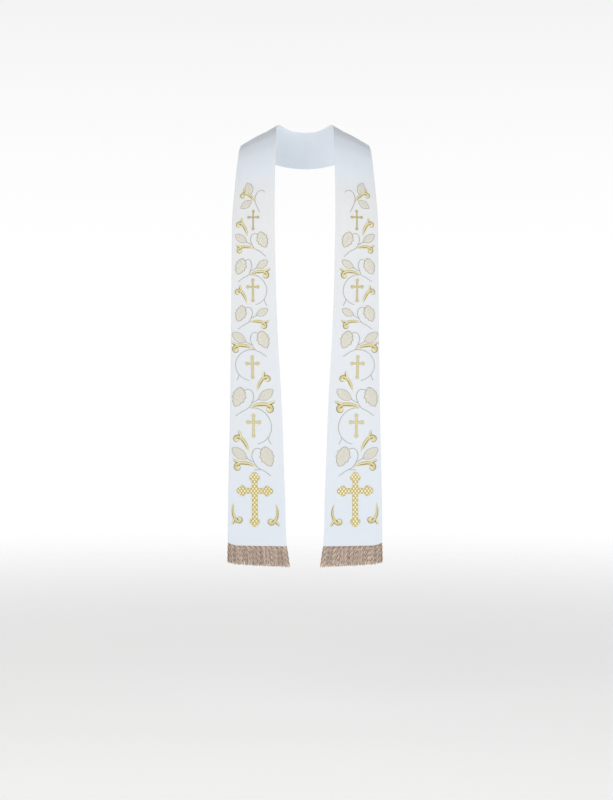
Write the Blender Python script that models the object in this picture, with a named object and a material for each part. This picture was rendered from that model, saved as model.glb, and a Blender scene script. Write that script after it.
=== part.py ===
"""Clerical stole, worn open: two shaped bands of stiff cloth joined at the centre back, each with a fringed end.

Metres, +Z up. The front faces -Y and +X is the wearer's left. The origin is the point on the nape of the neck
where the stole's neck edge rests at the centre back. Each band is a loft along its own centre line, from the
seam behind the neck, over the shoulder and down the front to its hem. A fringe hangs from each hem.
"""

from typing import NamedTuple

import bmesh
import bpy
import numpy as np

# Cut cloth and its trimming
CLOTH_THICKNESS = 0.0024
EDGE_ROUNDING = 0.0010
SEAM_GAP = 0.0003
CORNER_LIFT = 0.0075
CORNER_LIFT_HEIGHT = 0.0700
CORNER_LIFT_STARTS = 0.62

# Loft divisions: close round the neck, wider on the chest, widest on the straight front
FACES_ACROSS = 8
CHEST_STARTS = 0.270
FRONT_STARTS = 0.430
NECK_STEP = 0.0085
CHEST_STEP = 0.0170
FRONT_STEP = 0.0420

# Fringe: a heading tape with loose strands below it
FRINGE_DROP = 0.0505
HEADING_HEIGHT = 0.0080
HEADING_THICKNESS = 0.0026
STRANDS = 80
STRAND_THICKNESS = 0.0013
STRAND_SHARE = 0.62
STRAND_STEPS = 3
STRAND_UNEVENNESS = 0.0016
STRAND_SWAY = 0.0006
STRAND_SPREAD = 0.00025
STRAND_SEED = 5

CLOTH_COLOUR = (0.76, 0.78, 0.80, 1.0)
CLOTH_ROUGHNESS = 0.6
FRINGE_COLOUR = (0.36, 0.25, 0.16, 1.0)
FRINGE_ROUGHNESS = 0.45


class Section(NamedTuple):
    """One cross-section of the band on the wearer's left, with its angles in degrees."""

    place: str
    x: float  # middle of the section
    y: float
    z: float
    width: float  # neck edge to outer edge
    tilt: float  # how steeply the outer edge hangs below the neck edge
    wrap: float  # how far the section turns back round the body
    crown: float  # how far its middle stands out from its edges


SECTIONS = (
    Section("centre_back", 0.0000, 0.0200, -0.0448, 0.0980, 66.0, 90.0, 0.0010),
    Section("neck_back", 0.0600, 0.0075, -0.0375, 0.0990, 55.0, 33.0, 0.0015),
    Section("neck_side", 0.1000, -0.0200, -0.0185, 0.0990, 43.0, 13.0, 0.0015),
    Section("shoulder", 0.1173, -0.0550, -0.0180, 0.1012, 30.0, 1.0, 0.0015),
    Section("front_yoke", 0.1194, -0.0920, -0.0305, 0.1034, 26.0, 5.0, 0.0020),
    Section("collarbone", 0.1210, -0.1240, -0.0600, 0.1030, 19.0, 11.0, 0.0025),
    Section("upper_chest", 0.1235, -0.1470, -0.1050, 0.1040, 12.0, 15.0, 0.0030),
    Section("chest", 0.1262, -0.1630, -0.1650, 0.1066, 6.0, 16.0, 0.0030),
    Section("breast", 0.1291, -0.1710, -0.2350, 0.1105, 2.5, 15.0, 0.0030),
    Section("below_breast", 0.1290, -0.1740, -0.3200, 0.1120, 1.0, 13.0, 0.0030),
    Section("waist_high", 0.1280, -0.1740, -0.4450, 0.1160, 0.5, 12.5, 0.0030),
    Section("waist", 0.1260, -0.1720, -0.5700, 0.1225, 0.0, 11.5, 0.0030),
    Section("hip_high", 0.1230, -0.1710, -0.6950, 0.1310, -0.2, 11.0, 0.0030),
    Section("hip", 0.1220, -0.1700, -0.8200, 0.1385, -0.3, 11.0, 0.0030),
    Section("thigh", 0.1210, -0.1680, -0.9450, 0.1460, -0.3, 11.0, 0.0030),
    Section("hem", 0.1195, -0.1670, -1.0600, 0.1520, 0.0, 11.0, 0.0030),
    Section("fringe_foot", 0.1160, -0.1665, -1.1105, 0.1600, -1.9, 11.0, 0.0030),
)
HEM_ROW = len(SECTIONS) - 2


def measured_sections():
    """The sections' numbers and their distances from the seam, with one mirrored section before the seam."""
    before = SECTIONS[1]
    before = before._replace(x=-before.x, wrap=180.0 - before.wrap)
    values = np.array([section[1:] for section in (before, *SECTIONS)])
    steps = np.linalg.norm(np.diff(values[:, :3], axis=0), axis=1)
    distance = np.concatenate(([0.0], np.cumsum(steps))) - steps[0]
    return distance, values


def between(distance, values, at):
    """The values at distances `at`: cubics through the sections, each with its neighbours' parabola for slope."""
    step = np.diff(distance)[:, None]
    rise = np.diff(values, axis=0) / step
    slope = (rise[:-1] * step[1:] + rise[1:] * step[:-1]) / (step[:-1] + step[1:])
    slope = np.concatenate((slope, rise[-1:]))
    distance, values = distance[1:], values[1:]
    row = np.clip(np.searchsorted(distance, at, side="right") - 1, 0, len(distance) - 2)
    span = (distance[row + 1] - distance[row])[:, None]
    t = (at - distance[row])[:, None] / span
    return (
        values[row] * (2 * t**3 - 3 * t**2 + 1)
        + slope[row] * span * (t**3 - 2 * t**2 + t)
        + values[row + 1] * (3 * t**2 - 2 * t**3)
        + slope[row + 1] * span * (t**3 - t**2)
    )


def stations(length):
    """Distances of the lofted rings from the seam to the hem."""
    stretches = (
        (0.0, CHEST_STARTS, NECK_STEP),
        (CHEST_STARTS, FRONT_STARTS, CHEST_STEP),
        (FRONT_STARTS, length, FRONT_STEP),
    )
    runs = [np.linspace(start, end, round((end - start) / step) + 1) for start, end, step in stretches]
    return np.unique(np.concatenate(runs).round(6))


class Frames:
    """The band's sections at some distances from the seam, ready to give points on its faces."""

    def __init__(self, at):
        distance, values = measured_sections()
        rows = between(distance, values, at)
        self.centre = rows[:, :3]
        self.width = rows[:, 3:4]
        tilt, wrap = np.radians(rows[:, 4]), np.radians(rows[:, 5])
        level = np.cos(tilt)
        self.across = np.stack((level * np.cos(wrap), level * np.sin(wrap), -np.sin(tilt)), axis=1)
        self.crown = rows[:, 6:7]
        along = np.gradient(self.centre, at, axis=0)
        along[0, 1:] *= at[0] > 0.0  # both bands run straight through the seam
        normal = np.cross(along, self.across)
        self.outwards = normal / np.linalg.norm(normal, axis=1)[:, None]
        hem = distance[1:][HEM_ROW]
        self.near_hem = np.clip(1.0 - (hem - at) / CORNER_LIFT_HEIGHT, 0.0, 1.0)[:, None]

    def points(self, t, lift):
        """Points at t across (-1 on the neck edge, 1 on the outer edge), `lift` outwards from the bowed section."""
        reach = 0.5 * self.width * t
        bow = self.crown * (1.0 - t**2) + lift
        points = self.centre[:, None] + reach[..., None] * self.across[:, None]
        points = points + bow[..., None] * self.outwards[:, None]
        corner = np.clip((t - CORNER_LIFT_STARTS) / (1.0 - CORNER_LIFT_STARTS), 0.0, 1.0)
        points[..., 2] += CORNER_LIFT * self.near_hem**2 * corner**2
        return points


def wall_rings(frames):
    """Closed rings round the wall: outer face, outer edge, inner face, neck edge."""
    inset = 1.0 - 2.0 * EDGE_ROUNDING / frames.width
    t = np.linspace(-1.0, 1.0, FACES_ACROSS + 1)[None] * inset
    edge = np.ones_like(inset)
    half = CLOTH_THICKNESS / 2
    parts = ((t, half), (edge, 0.0), (t[:, ::-1], -half), (-edge, 0.0))
    return np.concatenate([frames.points(*part) for part in parts], axis=1)


def loft(mesh, rings):
    """Adds a closed tube through the rings, capped at both ends, and returns its faces between the rings."""
    rows = [[mesh.verts.new(point) for point in ring] for ring in rings]
    mesh.faces.new(rows[0])
    mesh.faces.new(rows[-1][::-1])
    faces = []
    for near, far in zip(rows, rows[1:]):
        turned = zip(near, far, far[1:] + far[:1], near[1:] + near[:1])
        faces.append([mesh.faces.new(corners) for corners in turned])
    return faces


def band_mesh(hem):
    """The wall of one band, from the seam to the hem."""
    frames = Frames(stations(hem))
    rings = wall_rings(frames)
    rings[..., 0] = np.maximum(rings[..., 0], SEAM_GAP / 2)
    mesh = bmesh.new()
    loft(mesh, rings)
    return mesh


def fringe_mesh(hem):
    """The heading tape under a hem, with each strand drawn down from the tape's lower edge."""
    ends = Frames(np.array([hem, hem + FRINGE_DROP]))
    cells = np.tile([STRAND_SHARE, 1.0 - STRAND_SHARE], STRANDS)[:-1]
    t = np.concatenate(([0.0], np.cumsum(cells))) * 2.0 / cells.sum() - 1.0
    both = np.stack((t, t))
    upper, lower = ends.points(both, 0.0)
    fall = (lower - upper) / FRINGE_DROP
    out = ends.outwards[0]
    top, bottom = upper + fall * SEAM_GAP, upper + fall * HEADING_HEIGHT
    thick, thin = out * HEADING_THICKNESS / 2, out * STRAND_THICKNESS / 2
    rings = np.stack((top + thick, bottom + thin, bottom - thin, top - thick), axis=1)
    mesh = bmesh.new()
    roots = [faces[1] for faces in loft(mesh, rings)][::2]
    draw_strands(mesh, roots, (fall[:-1:2] + fall[1::2]) / 2, ends)
    return mesh


def draw_strands(mesh, roots, fall, ends):
    """Extrudes each root face downwards in steps, to its own length and with its own slight sway."""
    random = np.random.default_rng(STRAND_SEED)
    lengths = FRINGE_DROP - HEADING_HEIGHT - STRAND_UNEVENNESS * random.random(STRANDS)
    sway = STRAND_SWAY * random.uniform(-1.0, 1.0, (STRANDS, 1)) * ends.outwards[0]
    spread = STRAND_SPREAD * random.uniform(-1.0, 1.0, (STRANDS, 1)) * ends.across[0]
    for face, drop, drift in zip(roots, fall * lengths[:, None], sway + spread):
        for _ in range(STRAND_STEPS):
            face = bmesh.ops.extrude_discrete_faces(mesh, faces=[face])["faces"][0]
            bmesh.ops.translate(mesh, verts=face.verts, vec=(drop + drift) / STRAND_STEPS)


def material(name, colour, roughness):
    """A Principled finish of one colour."""
    made = bpy.data.materials.new(name)
    made.use_nodes = True
    shader = made.node_tree.nodes["Principled BSDF"]
    shader.inputs["Base Color"].default_value = colour
    shader.inputs["Roughness"].default_value = roughness
    return made


def add_piece(collection, name, mesh, mirrored, finish):
    """Puts a finished mesh into the collection, mirrored for the wearer's right side."""
    if mirrored:
        bmesh.ops.scale(mesh, verts=mesh.verts, vec=(-1.0, 1.0, 1.0))
    bmesh.ops.recalc_face_normals(mesh, faces=mesh.faces)
    data = bpy.data.meshes.new(name)
    mesh.to_mesh(data)
    mesh.free()
    data.materials.append(finish)
    data.shade_smooth()
    data.set_sharp_from_angle(angle=np.radians(40.0))
    collection.objects.link(bpy.data.objects.new(name, data))


def main():
    for old in list(bpy.data.objects):
        bpy.data.objects.remove(old, do_unlink=True)
    stole = bpy.data.collections.new("clerical_stole")
    bpy.context.scene.collection.children.link(stole)
    hem = measured_sections()[0][1:][HEM_ROW]
    for side, mirrored in (("left", False), ("right", True)):
        cloth = material(f"satin_{side}", CLOTH_COLOUR, CLOTH_ROUGHNESS)
        thread = material(f"fringe_thread_{side}", FRINGE_COLOUR, FRINGE_ROUGHNESS)
        add_piece(stole, f"band_{side}", band_mesh(hem), mirrored, cloth)
        add_piece(stole, f"fringe_{side}", fringe_mesh(hem), mirrored, thread)


main()
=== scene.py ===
"""Looks of a clerical stole worn open: two satin bands, raised thread work and twisted fringes.

Every new surface is a grid of points worked out with numpy. The bands are walls on the same lofted
sections as the solids, and the thread work is drawn flat, in millimetres on the cut cloth, and then
laid on the worn cloth.
"""

import logging
from collections.abc import Sequence
from dataclasses import dataclass, field, replace
from enum import Enum

import bpy
import numpy as np
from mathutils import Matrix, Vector


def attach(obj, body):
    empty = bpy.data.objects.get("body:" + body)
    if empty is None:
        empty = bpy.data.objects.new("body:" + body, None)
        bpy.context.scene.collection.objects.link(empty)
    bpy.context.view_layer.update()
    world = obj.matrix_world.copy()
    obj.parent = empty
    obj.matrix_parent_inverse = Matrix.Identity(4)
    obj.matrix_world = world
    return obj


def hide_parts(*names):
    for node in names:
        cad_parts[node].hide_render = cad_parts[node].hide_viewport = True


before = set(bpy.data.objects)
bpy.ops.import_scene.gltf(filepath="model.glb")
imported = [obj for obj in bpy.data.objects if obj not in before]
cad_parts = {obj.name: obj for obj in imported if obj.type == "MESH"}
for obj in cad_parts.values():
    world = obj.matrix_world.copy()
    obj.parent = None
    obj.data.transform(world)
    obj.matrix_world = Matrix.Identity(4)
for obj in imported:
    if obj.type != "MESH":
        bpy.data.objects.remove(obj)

LOG = logging.getLogger("stole")
MM = 0.001
Amount = np.ndarray | float  # one number, or an array of them
BODY = "root"


class Side(Enum):
    """The wearer's side that a band hangs on; the value turns x."""

    LEFT = 1.0
    RIGHT = -1.0

    @property
    def word(self) -> str:
        """The side's name as nodes and pieces write it."""
        return self.name.lower()


class Lean(Enum):
    """Which edge of the band a motif leans to; the value turns its offsets across."""

    OUTER = 1.0
    NECK = -1.0


# --------------------------------------------------------------------------------------------------
# Curves and grids
# --------------------------------------------------------------------------------------------------


def spline(knots: np.ndarray, values: np.ndarray, at: np.ndarray) -> tuple[np.ndarray, np.ndarray]:
    """Cubics between knots, each knot's slope being that of the parabola through its neighbours.

    Args:
        knots: rising places along the curve, (n,).
        values: the values there, (n, columns).
        at: the places to read, of any shape.

    Returns:
        The values and their slopes, each of the shape of `at` with the columns added.
    """
    step = np.diff(knots)[:, None]
    rise = np.diff(values, axis=0) / step
    inner = (rise[:-1] * step[1:] + rise[1:] * step[:-1]) / (step[:-1] + step[1:])
    slope = np.concatenate((rise[:1], inner, rise[-1:]))
    row = np.clip(np.searchsorted(knots, at, side="right") - 1, 0, len(knots) - 2)
    span = (knots[row + 1] - knots[row])[..., None]
    t = (at - knots[row])[..., None] / span
    start, end = values[row], values[row + 1]
    leave, arrive = slope[row] * span, slope[row + 1] * span
    value = (
        start * (2 * t**3 - 3 * t**2 + 1)
        + leave * (t**3 - 2 * t**2 + t)
        + end * (3 * t**2 - 2 * t**3)
        + arrive * (t**3 - t**2)
    )
    rate = (
        start * (6 * t**2 - 6 * t)
        + leave * (3 * t**2 - 4 * t + 1)
        + end * (6 * t - 6 * t**2)
        + arrive * (3 * t**2 - 2 * t)
    )
    return value, rate / span


def smooth_path(points: np.ndarray, step: float) -> np.ndarray:
    """Evenly spaced points on the smooth curve through some points in a plane.

    Args:
        points: the points, (n, 2), or with more columns that are carried along.
        step: the spacing wanted, in the points' unit.

    Returns:
        The finer points, with the same columns.
    """
    chords = np.linalg.norm(np.diff(points[:, :2], axis=0), axis=1)
    knots = np.concatenate(([0.0], np.cumsum(chords)))
    count = max(4, int(np.ceil(knots[-1] / step)) + 1)
    return spline(knots, points, np.linspace(0.0, knots[-1], count))[0]


def distances(path: np.ndarray) -> np.ndarray:
    """How far along a path each of its points is, (n,)."""
    return np.concatenate(([0.0], np.cumsum(np.linalg.norm(np.diff(path, axis=0), axis=1))))


def left_of(path: np.ndarray, closed: bool = False) -> np.ndarray:
    """Unit vectors to the left of a path's run.

    Args:
        path: the points, (n, 2).
        closed: whether the path ends where it starts.

    Returns:
        The vectors, (n, 2).
    """
    if closed:
        run = np.roll(path, -1, axis=0) - np.roll(path, 1, axis=0)
    else:
        run = np.gradient(path, axis=0)
    left = np.stack((-run[:, 1], run[:, 0]), axis=1)
    return left / np.maximum(np.linalg.norm(left, axis=1), 1e-9)[:, None]


def straight(start: np.ndarray, end: np.ndarray, step: float) -> tuple[np.ndarray, np.ndarray]:
    """Evenly spaced points on a straight line.

    Args:
        start: where it starts.
        end: where it ends.
        step: the spacing wanted.

    Returns:
        The distances from its start, (n,), and the points, (n, columns).
    """
    length = float(np.linalg.norm(end - start))
    run = np.linspace(0.0, length, round(length / step) + 1)
    return run, start + run[:, None] / length * (end - start)


@dataclass
class Grid:
    """Points on rows and columns, with the thread map in millimetres and a tone for each point.

    The columns always close into a ring, and the rows do where `loop` is true. `map_mm` has one
    more column than `points`, and one more row for a loop, so that the map runs on over the join.
    """

    points: np.ndarray
    map_mm: np.ndarray
    tone: Amount = 1.0
    loop: bool = False


@dataclass
class Surface:
    """Many grids gathered into one mesh."""

    points: list[np.ndarray] = field(default_factory=list)
    quads: list[np.ndarray] = field(default_factory=list)
    maps: list[np.ndarray] = field(default_factory=list)
    tones: list[np.ndarray] = field(default_factory=list)
    count: int = 0

    def add(self, grid: Grid) -> None:
        """Adds a closed grid, turned so that its faces point outwards, capped unless it is a loop.

        Args:
            grid: points of shape (rows, columns, 3) or, for many alike, (copies, rows, columns, 3).
        """
        points = grid.points if grid.points.ndim == 4 else grid.points[None]
        copies, rows, columns = shape = points.shape[:3]
        maps = np.broadcast_to(grid.map_mm, (copies, rows + grid.loop, columns + 1, 2))
        quads, corner_maps = self._sheet(shape, maps, grid.loop)
        if not grid.loop:
            cap_quads, cap_maps = self._caps(shape, maps)
            quads = np.concatenate((quads, cap_quads))
            corner_maps = np.concatenate((corner_maps, cap_maps))
        flat = points.reshape(-1, 3)
        if self._volume(flat, quads) < 0.0:
            quads, corner_maps = quads[:, ::-1], corner_maps[:, ::-1]
        self.points.append(flat)
        self.quads.append(quads + self.count)
        self.maps.append(corner_maps)
        self.tones.append(np.broadcast_to(grid.tone, shape).reshape(-1))
        self.count += len(flat)

    @staticmethod
    def _sheet(
        shape: tuple[int, ...], maps: np.ndarray, loop: bool
    ) -> tuple[np.ndarray, np.ndarray]:
        """Quads between neighbouring rows and columns, and the map at their corners.

        Args:
            shape: how many copies, rows and columns.
            maps: the thread map, (copies, rows, columns + 1, 2), with one more row for a loop.
            loop: whether the rows close into a ring.

        Returns:
            Four vertex numbers for each quad, (n, 4), and the map at its corners, (n, 4, 2).
        """
        index = np.arange(np.prod(shape)).reshape(shape)
        index = np.concatenate((index, index[:, :, :1]), axis=2)
        if loop:
            index = np.concatenate((index, index[:, :1]), axis=1)
        corners = (np.s_[:, :-1, :-1], np.s_[:, :-1, 1:], np.s_[:, 1:, 1:], np.s_[:, 1:, :-1])
        quads = np.stack([index[corner] for corner in corners], axis=-1).reshape(-1, 4)
        corner_maps = np.stack([maps[corner] for corner in corners], axis=-2).reshape(-1, 4, 2)
        return quads, corner_maps

    @staticmethod
    def _caps(shape: tuple[int, ...], maps: np.ndarray) -> tuple[np.ndarray, np.ndarray]:
        """Quads that close the first and last rings, each from one half of the ring to the other.

        Args:
            shape: how many copies, rows and columns.
            maps: the thread map, (copies, rows, columns + 1, 2).

        Returns:
            Four vertex numbers for each quad, (n, 4), and the map at its corners, (n, 4, 2).
        """
        copies, rows, columns = shape
        near = np.arange(columns // 2 - 1)
        strip = np.stack((near, near + 1, columns - 2 - near, columns - 1 - near), axis=1)
        first = np.arange(copies)[:, None, None] * rows * columns
        last = first + (rows - 1) * columns
        quads = np.concatenate((strip[None, :, ::-1] + first, strip[None] + last)).reshape(-1, 4)
        own = maps[:, [0, -1], :columns]
        opening, closing = own[:, 0][:, strip[:, ::-1]], own[:, 1][:, strip]
        return quads, np.concatenate((opening, closing)).reshape(-1, 4, 2)

    @staticmethod
    def _volume(points: np.ndarray, quads: np.ndarray) -> float:
        """Six times the signed volume inside the quads, positive where they face outwards."""
        a, b, c, d = (points[quads[:, k]] - points[0] for k in range(4))
        return float(np.sum(np.cross(a, b) * c) + np.sum(np.cross(a, c) * d))

    def to_object(self, name: str, finish: bpy.types.Material) -> bpy.types.Object:
        """Makes the gathered mesh, with its thread map and tones, an object of the scene.

        Args:
            name: the piece's name.
            finish: its material.

        Returns:
            The object, at the origin.
        """
        points, quads = np.concatenate(self.points), np.concatenate(self.quads)
        mesh = bpy.data.meshes.new(name)
        mesh.vertices.add(len(points))
        mesh.vertices.foreach_set("co", points.astype(np.float32).ravel())
        mesh.loops.add(quads.size)
        mesh.loops.foreach_set("vertex_index", quads.astype(np.int32).ravel())
        mesh.polygons.add(len(quads))
        mesh.polygons.foreach_set("loop_start", np.arange(0, quads.size, 4, dtype=np.int32))
        mesh.polygons.foreach_set("use_smooth", np.ones(len(quads), dtype=bool))
        threads = mesh.uv_layers.new(name="threads_mm")
        threads.data.foreach_set("uv", np.concatenate(self.maps).astype(np.float32).ravel())
        tone = mesh.attributes.new("tone", "FLOAT", "POINT")
        tone.data.foreach_set("value", np.concatenate(self.tones).astype(np.float32))
        mesh.update(calc_edges=True)
        mesh.materials.append(finish)
        piece = bpy.data.objects.new(name, mesh)
        bpy.context.scene.collection.objects.link(piece)
        return piece


# --------------------------------------------------------------------------------------------------
# The worn form of the cloth
# --------------------------------------------------------------------------------------------------


@dataclass(frozen=True)
class Section:
    """One cross-section of the left band: middle and width in metres, angles in degrees."""

    place: str
    x: float
    y: float
    z: float
    width: float
    tilt: float
    wrap: float
    crown: float

    @property
    def numbers(self) -> tuple[float, ...]:
        """The section without its name."""
        return (self.x, self.y, self.z, self.width, self.tilt, self.wrap, self.crown)


SECTIONS = (
    Section("centre_back", 0.0000, 0.0200, -0.0448, 0.0980, 66.0, 90.0, 0.0010),
    Section("neck_back", 0.0600, 0.0075, -0.0375, 0.0990, 55.0, 33.0, 0.0015),
    Section("neck_side", 0.1000, -0.0200, -0.0185, 0.0990, 43.0, 13.0, 0.0015),
    Section("shoulder", 0.1173, -0.0550, -0.0180, 0.1012, 30.0, 1.0, 0.0015),
    Section("front_yoke", 0.1194, -0.0920, -0.0305, 0.1034, 26.0, 5.0, 0.0020),
    Section("collarbone", 0.1210, -0.1240, -0.0600, 0.1030, 19.0, 11.0, 0.0025),
    Section("upper_chest", 0.1235, -0.1470, -0.1050, 0.1040, 12.0, 15.0, 0.0030),
    Section("chest", 0.1262, -0.1630, -0.1650, 0.1066, 6.0, 16.0, 0.0030),
    Section("breast", 0.1291, -0.1710, -0.2350, 0.1105, 2.5, 15.0, 0.0030),
    Section("below_breast", 0.1290, -0.1740, -0.3200, 0.1120, 1.0, 13.0, 0.0030),
    Section("waist_high", 0.1280, -0.1740, -0.4450, 0.1160, 0.5, 12.5, 0.0030),
    Section("waist", 0.1260, -0.1720, -0.5700, 0.1225, 0.0, 11.5, 0.0030),
    Section("hip_high", 0.1230, -0.1710, -0.6950, 0.1310, -0.2, 11.0, 0.0030),
    Section("hip", 0.1220, -0.1700, -0.8200, 0.1385, -0.3, 11.0, 0.0030),
    Section("thigh", 0.1210, -0.1680, -0.9450, 0.1460, -0.3, 11.0, 0.0030),
    Section("hem", 0.1195, -0.1670, -1.0600, 0.1520, 0.0, 11.0, 0.0030),
    Section("fringe_foot", 0.1160, -0.1665, -1.1105, 0.1600, -1.9, 11.0, 0.0030),
)
HEM_ROW = len(SECTIONS) - 2


@dataclass(frozen=True)
class Crease:
    """A soft trough, or a ridge if its depth is negative: metres, and degrees from the run."""

    distance: float
    across: float
    half_length: float
    half_width: float
    turn: float
    depth: float

    def press(self, distance: np.ndarray, across: np.ndarray) -> np.ndarray:
        """How far the cloth is moved outwards: a bell along the crease times a bell across it.

        Args:
            distance: metres along the middle from the seam.
            across: metres across from the middle.

        Returns:
            Metres outwards, of the arguments' shape.
        """
        turn = np.radians(self.turn)
        run, side = distance - self.distance, across - self.across
        along = (run * np.cos(turn) + side * np.sin(turn)) / self.half_length
        over = (side * np.cos(turn) - run * np.sin(turn)) / self.half_width
        return -self.depth * np.exp(-(along**2) - over**2)


CREASES = {
    Side.LEFT: (
        Crease(0.040, -0.012, 0.034, 0.007, 82.0, 0.0011),
        Crease(0.085, 0.020, 0.042, 0.009, 62.0, 0.0013),
        Crease(0.108, 0.004, 0.040, 0.006, 70.0, -0.0007),
        Crease(0.150, -0.026, 0.046, 0.008, 24.0, 0.0010),
        Crease(0.216, -0.010, 0.090, 0.0120, 90.0, -0.0010),
        Crease(0.206, 0.018, 0.050, 0.010, -18.0, 0.0006),
        Crease(0.280, -0.020, 0.080, 0.012, 6.0, 0.0007),
        Crease(0.460, 0.024, 0.150, 0.014, -3.0, 0.0007),
        Crease(0.700, -0.018, 0.190, 0.017, 2.5, 0.0008),
        Crease(0.830, 0.030, 0.160, 0.013, -2.0, -0.0006),
        Crease(1.060, 0.008, 0.170, 0.020, 1.5, 0.0009),
        Crease(1.150, -0.040, 0.090, 0.014, -3.0, 0.0008),
    ),
    Side.RIGHT: (
        Crease(0.034, 0.010, 0.036, 0.008, 78.0, 0.0010),
        Crease(0.074, -0.014, 0.030, 0.006, 66.0, -0.0006),
        Crease(0.098, 0.016, 0.044, 0.009, 58.0, 0.0014),
        Crease(0.158, -0.022, 0.052, 0.009, 20.0, 0.0011),
        Crease(0.215, -0.008, 0.088, 0.0124, 90.0, -0.0010),
        Crease(0.214, 0.024, 0.044, 0.009, -14.0, 0.0006),
        Crease(0.300, -0.012, 0.090, 0.013, 4.0, 0.0006),
        Crease(0.500, 0.014, 0.170, 0.015, -2.0, 0.0008),
        Crease(0.650, -0.028, 0.150, 0.014, 3.0, 0.0006),
        Crease(0.880, 0.022, 0.190, 0.018, -2.5, 0.0008),
        Crease(1.080, -0.022, 0.150, 0.018, 2.0, 0.0009),
        Crease(1.170, 0.046, 0.080, 0.013, -2.0, 0.0006),
    ),
}


@dataclass(frozen=True)
class StoleForm:
    """Where the cut cloth lies when it is worn; sizes in metres.

    At the hem the outer corner is drawn up by `corner_lift`, from `corner_lift_starts` of the half
    width outwards and over the last `corner_lift_height`. `fringe_drop` is how far the fringe falls
    below the hem. The stitching of the long edges lies `stitch_inset` in from them, in a groove
    `stitch_half` half wide and `stitch_depth` deep.
    """

    side: Side
    thickness: float = 0.0024
    corner_lift: float = 0.0075
    corner_lift_height: float = 0.0700
    corner_lift_starts: float = 0.62
    fringe_drop: float = 0.0505
    stitch_inset: float = 0.0068
    stitch_half: float = 0.0016
    stitch_depth: float = 0.0004

    @staticmethod
    def _knots() -> tuple[np.ndarray, np.ndarray]:
        """The sections' numbers, with one mirrored section before the seam.

        Returns:
            The sections' distances from the seam, (n,), and their numbers, (n, 7).
        """
        x, y, z, width, tilt, wrap, crown = SECTIONS[1].numbers
        mirrored = (-x, y, z, width, tilt, 180.0 - wrap, crown)
        values = np.array((mirrored, *(section.numbers for section in SECTIONS)))
        steps = np.linalg.norm(np.diff(values[:, :3], axis=0), axis=1)
        return np.concatenate(([0.0], np.cumsum(steps))) - steps[0], values

    @property
    def length(self) -> float:
        """Distance along the middle of the band from the seam to the hem."""
        return float(self._knots()[0][1:][HEM_ROW])

    def width(self, distance: np.ndarray) -> np.ndarray:
        """The band's width at some distances from the seam."""
        return spline(*self._knots(), distance)[0][..., 3]

    def frame_at(self, distance: np.ndarray) -> tuple[np.ndarray, ...]:
        """How the band lies at some distances from the seam.

        Args:
            distance: metres along the middle from the seam.

        Returns:
            Middle, direction across, direction outwards, half width and crown, each of the
            argument's shape.
        """
        rows, slopes = spline(*self._knots(), distance)
        tilt, wrap = np.radians(rows[..., 4]), np.radians(rows[..., 5])
        level = np.cos(tilt)
        across = np.stack((level * np.cos(wrap), level * np.sin(wrap), -np.sin(tilt)), axis=-1)
        outwards = np.cross(slopes[..., :3], across)
        outwards /= np.linalg.norm(outwards, axis=-1)[..., None]
        return rows[..., :3], across, outwards, rows[..., 3] / 2, rows[..., 6]

    def relief(self, distance: np.ndarray, across: np.ndarray) -> np.ndarray:
        """How far the creases move the cloth outwards."""
        return sum(crease.press(distance, across) for crease in CREASES[self.side])

    def place(self, distance: np.ndarray, across: np.ndarray, lift: np.ndarray) -> np.ndarray:
        """Points of the worn cloth, or off its face.

        The point is the section's middle, plus `across` along the section, plus its bow outwards:
        the crown times one less the square of the place across, the creases and the lift, less a
        shallow bell-shaped groove where each long edge is stitched down. Near the hem the outer
        corner is drawn up by the square of how near it is, both ways.

        Args:
            distance: metres along the middle from the seam.
            across: metres across from the middle, towards the outer edge.
            lift: metres outwards from the middle of the wall.

        Returns:
            The points, with three coordinates added to the arguments' shape.
        """
        distance, across, lift = np.broadcast_arrays(distance, across, lift)
        middle, direction, outwards, half, crown = self.frame_at(distance)
        t = np.clip(across / half, -1.0, 1.0)
        from_stitch = (half - np.abs(across) - self.stitch_inset) / self.stitch_half
        bow = crown * (1.0 - t**2) + lift + self.relief(distance, across)
        bow = bow - self.stitch_depth * np.exp(-(from_stitch**2))
        points = middle + across[..., None] * direction + bow[..., None] * outwards
        near_hem = np.clip(1.0 - (self.length - distance) / self.corner_lift_height, 0.0, 1.0)
        points[..., 2] += self.corner_lift * near_hem**2 * self.corner(t) ** 2
        points[..., 0] *= self.side.value
        return points

    def corner(self, t: np.ndarray) -> np.ndarray:
        """How far into the drawn-up corner a place across is, 0 to 1; t is 1 at the outer edge."""
        return np.clip((t - self.corner_lift_starts) / (1.0 - self.corner_lift_starts), 0.0, 1.0)

    def on_face(self, flat_mm: np.ndarray) -> np.ndarray:
        """Lays flat work on the worn cloth.

        Args:
            flat_mm: places across, heights above the hem and lifts off the face, in millimetres,
                (..., 3).

        Returns:
            The same points on the worn cloth, in metres.
        """
        across, height, lift = np.moveaxis(flat_mm * MM, -1, 0)
        return self.place(self.length - height, across, lift + self.thickness / 2)


# --------------------------------------------------------------------------------------------------
# Finishes
# --------------------------------------------------------------------------------------------------


def linear(colour: str) -> tuple[float, float, float, float]:
    """Turns an sRGB hex colour to linear light.

    Args:
        colour: six hex digits after a hash.

    Returns:
        Linear red, green and blue, and an alpha of 1.
    """
    parts = np.array([int(colour[k : k + 2], 16) for k in (1, 3, 5)]) / 255.0
    light = np.where(parts <= 0.04045, parts / 12.92, ((parts + 0.055) / 1.055) ** 2.4)
    return (*light.tolist(), 1.0)


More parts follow.
